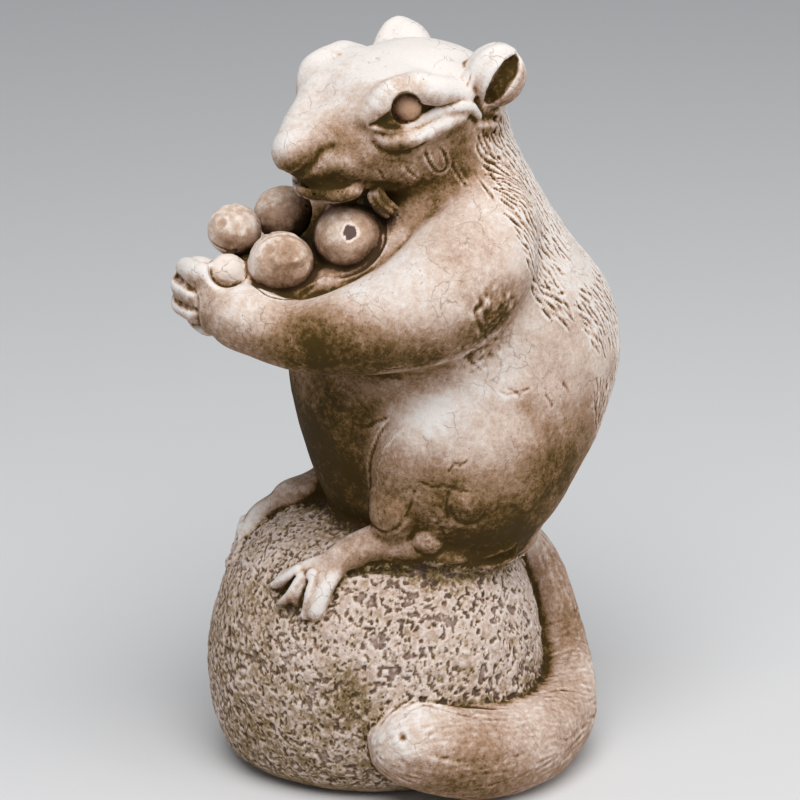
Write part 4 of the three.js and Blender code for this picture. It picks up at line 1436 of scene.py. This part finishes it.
class Nodes:
    """Short ways to make and join the nodes of one material."""

    def __init__(self, name):
        self.material = bpy.data.materials.new(name)
        self.material.use_nodes = True
        self.tree = self.material.node_tree
        self.shader = self.tree.nodes["Principled BSDF"]

    def add(self, kind, **settings):
        """A new node."""
        node = self.tree.nodes.new("ShaderNode" + kind)
        for key, value in settings.items():
            setattr(node, key, value)
        return node

    def feed(self, socket, value):
        """Joins a socket to another one, or gives it a value."""
        if isinstance(value, bpy.types.NodeSocket):
            self.tree.links.new(value, socket)
        else:
            socket.default_value = value

    def attribute(self, name):
        """A mark of the surface."""
        return self.add("Attribute", attribute_name=name).outputs["Fac"]

    def place(self):
        """The place on the statue."""
        return self.add("TexCoord").outputs["Object"]

    def texture(self, kind, size, vector=None, **settings):
        """A texture with features of this size in millimetres."""
        node = self.add("Tex" + kind, **settings)
        self.feed(node.inputs["Scale"], METRE / size)
        self.feed(node.inputs["Vector"], self.place() if vector is None else vector)
        return node

    def noise(self, size, detail=4.0, roughness=0.6, warp=0.0):
        """Noise with features of this size."""
        node = self.texture("Noise", size)
        for key, value in (("Detail", detail), ("Roughness", roughness), ("Distortion", warp)):
            self.feed(node.inputs[key], value)
        return node.outputs["Fac"]

    def math(self, operation, a, b):
        """Two values joined by an operation."""
        node = self.add("Math", operation=operation)
        for socket, value in zip(node.inputs, (a, b)):
            self.feed(socket, value)
        return node.outputs[0]

    def plus(self, a, b):
        """The sum of two values."""
        return self.math("ADD", a, b)

    def minus(self, a, b):
        """A value less another."""
        return self.math("SUBTRACT", a, b)

    def times(self, a, b):
        """The product of two values."""
        return self.math("MULTIPLY", a, b)

    def spread(self, value, low, high, start=0.0, end=1.0):
        """A value's range from low to high made to run from start to end."""
        node = self.add("MapRange", interpolation_type="SMOOTHSTEP")
        ranges = {"From Min": low, "From Max": high, "To Min": start, "To Max": end}
        for key, number in {"Value": value, **ranges}.items():
            self.feed(node.inputs[key], number)
        return node.outputs["Result"]

    def ramp(self, value, stops):
        """Colours along a value."""
        node = self.add("ValToRGB")
        elements = node.color_ramp.elements
        while len(elements) < len(stops):
            elements.new(1.0)
        for element, (position, code) in zip(elements, stops):
            element.position = position
            element.color = linear(code)
        self.feed(node.inputs["Fac"], value)
        return node.outputs["Color"]

    def mix(self, share, a, b):
        """Two colours mixed by a share; either may be a hex code."""
        node = self.add("Mix", data_type="RGBA")
        self.feed(node.inputs["Factor"], share)
        for key, value in (("A", a), ("B", b)):
            socket = [s for s in node.inputs if s.name == key and s.type == "RGBA"][0]
            self.feed(socket, linear(value) if isinstance(value, str) else value)
        return [s for s in node.outputs if s.type == "RGBA"][0]

    def crackle(self, size, width):
        """1 on the fine lines of a crackled surface."""
        warped = self.add("VectorMath", operation="MULTIPLY_ADD")
        self.feed(warped.inputs[0], self.texture("Noise", 0.5 * size).outputs["Color"])
        self.feed(warped.inputs[1], [0.6 * size / METRE] * 3)
        self.feed(warped.inputs[2], self.place())
        cells = self.texture("Voronoi", size, warped.outputs[0], feature="DISTANCE_TO_EDGE")
        return self.spread(cells.outputs["Distance"], 0.0, width / size, 1.0, 0.0)

    def pinholes(self, size, share):
        """1 in scattered small holes."""
        cells = self.texture("Voronoi", size, feature="F1")
        return self.spread(cells.outputs["Distance"], 0.6 * share, share, 1.0, 0.0)

    def finish(self, colour, roughness, height, bump):
        """Joins colour, roughness and a fine height in millimetres to the shader."""
        relief = self.add("Bump")
        self.feed(relief.inputs["Strength"], bump)
        self.feed(relief.inputs["Distance"], 1 / METRE)
        self.feed(relief.inputs["Height"], height)
        self.feed(self.shader.inputs["Base Color"], colour)
        self.feed(self.shader.inputs["Roughness"], roughness)
        self.feed(self.shader.inputs["Normal"], relief.outputs["Normal"])
        self.feed(self.shader.inputs["Specular IOR Level"], STONE_SHINE)
        return self.material


def patina(n, base, gain):
    """Where the stone lies from worn, pale and in painted highlight to brown, grimy and in painted shade,
    with mottling at several sizes.
    """
    broad = n.times(n.noise(BROAD_MOTTLE, 6, 0.7, 0.6), 0.5)
    mottle = n.plus(broad, n.times(n.noise(FINE_MOTTLE, 5, 0.7), 0.5))
    # This attribute carries painted shade and painted highlights as well as grime.
    grime_and_shade = n.attribute("grime_and_shade")
    reach = n.plus(n.times(grime_and_shade, MOTTLE_IN_GRIME_AND_SHADE * gain), MOTTLE * gain)
    swing = n.times(n.minus(mottle, 0.5), reach)
    worn = n.minus(grime_and_shade, n.times(n.attribute("wear"), WEAR_SHIFT))
    specks = n.times(n.spread(n.noise(SPECK, 2), 0.56, 0.7), n.plus(grime_and_shade, 0.15))
    level = n.plus(n.plus(worn, swing), n.times(specks, SPECK_SHIFT))
    return n.plus(level, base), mottle


def stone_material(name, stops, base=STONE_BASE, gain=STONE_GAIN):
    """Cast stone with brown grime and painted shade in its hollows, pale worn ridges, fine cracks and
    pinholes.
    """
    n = Nodes(name)
    level, mottle = patina(n, base, gain)
    colour = n.ramp(level, stops)
    colour = n.mix(n.spread(n.attribute("pit"), 0.4, 0.7), colour, SCAR_COLOUR)
    patches = n.spread(n.noise(CRACKLE_PATCH, 3), 0.48, 0.58)
    lines = n.times(n.times(n.crackle(CRACKLE_CELL, CRACKLE_WIDTH), patches), 0.4)
    colour = n.mix(lines, colour, CRACKLE_COLOUR)
    holes = n.times(n.pinholes(PINHOLE_CELL, 0.13), n.spread(n.noise(PINHOLE_PATCH, 3), 0.55, 0.64))
    colour = n.mix(n.times(holes, 0.7), colour, PINHOLE_COLOUR)
    dents = n.times(n.math("MAXIMUM", lines, holes), 0.3)
    height = n.minus(n.times(n.noise(STONE_GRAIN, 3), 0.4), dents)
    return n.finish(colour, n.spread(mottle, *MOTTLE_RANGE, *STONE_ROUGHNESS), height, STONE_BUMP)


def pitted_material():
    """Pitted stone: rough cream ridges round flat purple brown pits."""
    n = Nodes("pitted_stone")
    level, mottle = patina(n, ROCK_BASE, ROCK_GAIN)
    grain = n.times(n.minus(n.noise(STONE_GRAIN, 3), 0.5), 0.9)
    pit = n.spread(n.plus(n.attribute("pit"), grain), 0.3, 0.95)
    colour = n.mix(pit, n.ramp(level, ROCK_STOPS), n.ramp(level, PIT_STOPS))
    holes = n.times(n.pinholes(ROCK_HOLE_CELL, 0.24), n.spread(n.noise(ROCK_HOLE_PATCH, 2), 0.42, 0.55))
    colour = n.mix(n.times(holes, 0.5), colour, ROCK_HOLE_COLOUR)
    height = n.minus(n.times(n.noise(ROCK_TEXTURE, 4), 0.7), n.times(holes, 0.5))
    return n.finish(colour, n.spread(mottle, *MOTTLE_RANGE, *ROCK_ROUGHNESS), height, ROCK_BUMP)


def make_materials():
    """The kinds of stone by slot."""
    return {
        "cast_stone": stone_material("cast_stone", STONE_STOPS),
        "pitted_stone": pitted_material(),
        "nut_stone": stone_material("nut_stone", NUT_STOPS, NUT_BASE, NUT_GAIN),
        "eye_stone": stone_material("eye_stone", EYE_STOPS),
    }


# Stage in metres and watts. Each lamp: height, way towards the camera and to its right, size, power, colour
FLOOR_SIZE = 8
FLOOR_COLOUR = "d5d6d8"
FLOOR_ROUGHNESS = 0.9
SKY_COLOUR = "e6ebf0"
SKY_STRENGTH = 0.34
LAMP_TARGET = Vector((0, 0, 0.12))
LAMPS = [
    ("sky_light", 1.12, 0.75, 0.0, 1.3, 22.5, (1.0, 0.98, 0.96)),
    ("side_light", 0.5, 0.3, 1.1, 0.9, 4, (1.0, 0.97, 0.93)),
]


def add_camera():
    """The photograph's camera."""
    _, _, back, eye = camera_axes()
    data = bpy.data.cameras.new("camera")
    data.sensor_width = SENSOR_WIDTH
    data.lens = SENSOR_WIDTH * FOCAL_PIXELS / IMAGE_SIZE
    data.shift_y = (OPTICAL_ROW - IMAGE_SIZE / 2) / IMAGE_SIZE
    camera = bpy.data.objects.new("camera", data)
    camera.location = Vector(eye) / METRE
    camera.rotation_mode = "QUATERNION"
    camera.rotation_quaternion = (-Vector(back)).to_track_quat("-Z", "Y")
    bpy.context.scene.collection.objects.link(camera)
    bpy.context.scene.camera = camera


def add_area(name, place, size, power, colour):
    """A soft lamp that looks at the middle of the statue."""
    data = bpy.data.lights.new(name, "AREA")
    data.shape = "DISK"
    data.size = size
    data.energy = power
    data.color = colour
    lamp = bpy.data.objects.new(name, data)
    lamp.location = place
    lamp.rotation_mode = "QUATERNION"
    lamp.rotation_quaternion = (LAMP_TARGET - place).to_track_quat("-Z", "Y")
    bpy.context.scene.collection.objects.link(lamp)


def add_stage():
    """A pale floor, soft light from above and a dim even sky."""
    bpy.ops.mesh.primitive_plane_add(size=FLOOR_SIZE)
    floor = bpy.context.object
    floor.name = "floor"
    n = Nodes("floor")
    n.feed(n.shader.inputs["Base Color"], linear(FLOOR_COLOUR))
    n.feed(n.shader.inputs["Roughness"], FLOOR_ROUGHNESS)
    floor.data.materials.append(n.material)
    right, _, back, _ = (Vector(a) for a in camera_axes())
    for name, height, behind, aside, size, power, colour in LAMPS:
        add_area(name, Vector((0, 0, height)) + back * behind + right * aside, size, power, colour)
    world = bpy.data.worlds.new("world")
    bpy.context.scene.world = world
    world.use_nodes = True
    sky = world.node_tree.nodes["Background"]
    sky.inputs["Color"].default_value = linear(SKY_COLOUR)
    sky.inputs["Strength"].default_value = SKY_STRENGTH
    bpy.context.scene.view_settings.view_transform = "Standard"


def skin_field(skin, shape, first):
    """The distance field of a smoothed skin, on the same lattice."""
    grid = level_set(skin.points.astype(np.float32), quads=skin.quads.astype(np.uint32))
    whole = np.empty(shape, np.float32)
    grid.copyToArray(whole, ijk=tuple(int(i) for i in first))
    return whole


def base_field(fields):
    """The whole statue as one field: smooth bodies first, then forms of clay, then nuts and eyes."""
    whole, first = empty_lattice(fields)
    join_nodes(whole, first, fields, [name for name in NAMES if name not in ROUND_NODES])
    skin = Skin(whole, first)
    distances = node_distances(fields, skin.points)
    smooth_facets(skin, distances, np.argmin(distances, 1))
    whole = skin_field(skin, whole.shape, first)
    clay, photo = Clay(whole, first), Photo(skin)
    level_forehead(clay, photo)
    fill_ears(clay)
    fill_sockets(clay)
    model_forms(clay, photo, MOUTH_FILL, head_mirror, FAR_MOUTH_SINK)
    model_forms(clay, photo, THROAT_FILL, body_mirror)
    fill_seat(clay)
    model_forms(clay, photo, SEAT_FILL, body_mirror)
    model_forms(clay, photo, NEST_FORMS)
    fill_nest(clay)
    photo = Photo(Skin(whole, first))
    model_forms(clay, photo, BROW_FORMS, head_mirror, FAR_BROW_SINK)
    model_forms(clay, photo, BRIDGE_FORMS)
    model_forms(clay, photo, FACE_FORMS, head_mirror, FAR_FACE_SINK)
    model_forms(clay, photo, TUFT_FORMS)
    open_eyes(clay, photo)
    model_forms(clay, photo, LOWER_LID + EAR_FORMS, head_mirror)
    model_forms(clay, photo, BODY_FORMS, body_mirror)
    model_forms(clay, photo, FINGER_GAPS)
    open_palm(clay)
    join_nodes(whole, first, fields, ROUND_NODES)
    return whole, first


def build():
    """Loads the frame, carves the statue and lights it."""
    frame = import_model()
    fields = node_fields(frame["nodes"])
    whole, first = base_field(fields)
    skin = Skin(whole, first)
    distances = node_distances(fields, skin.points)
    label = nearest_node(distances)
    pits = carve(skin, label, distances, fields)
    marks = surface_marks(skin, whole, first, pits)
    # On the boulder grime and painted shade are weakened, but stay full in the seams with other nodes.
    rock = on_nodes(label, "boulder")
    seam = smoothstep(*ROCK_SEAM, clearance(distances, rock, "boulder"))
    marks["grime_and_shade"][rock] *= ROCK_GRIME_AND_SHADE + (1 - ROCK_GRIME_AND_SHADE) * seam
    normals = skin.normals()
    materials = make_materials()
    face_label = settle_labels(skin, label)

    def inside(places):
        return sample(whole, first, places, FAR)

    for i, name in enumerate(NAMES):
        slot = SLOT_OF.get(name, "cast_stone")
        faces = skin.quads[face_label == i]
        piece = make_piece("carved_" + name, skin, faces, normals, marks, inside, materials[slot])
        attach(piece, "root")
        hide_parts(name)
    add_camera()
    add_stage()


build()
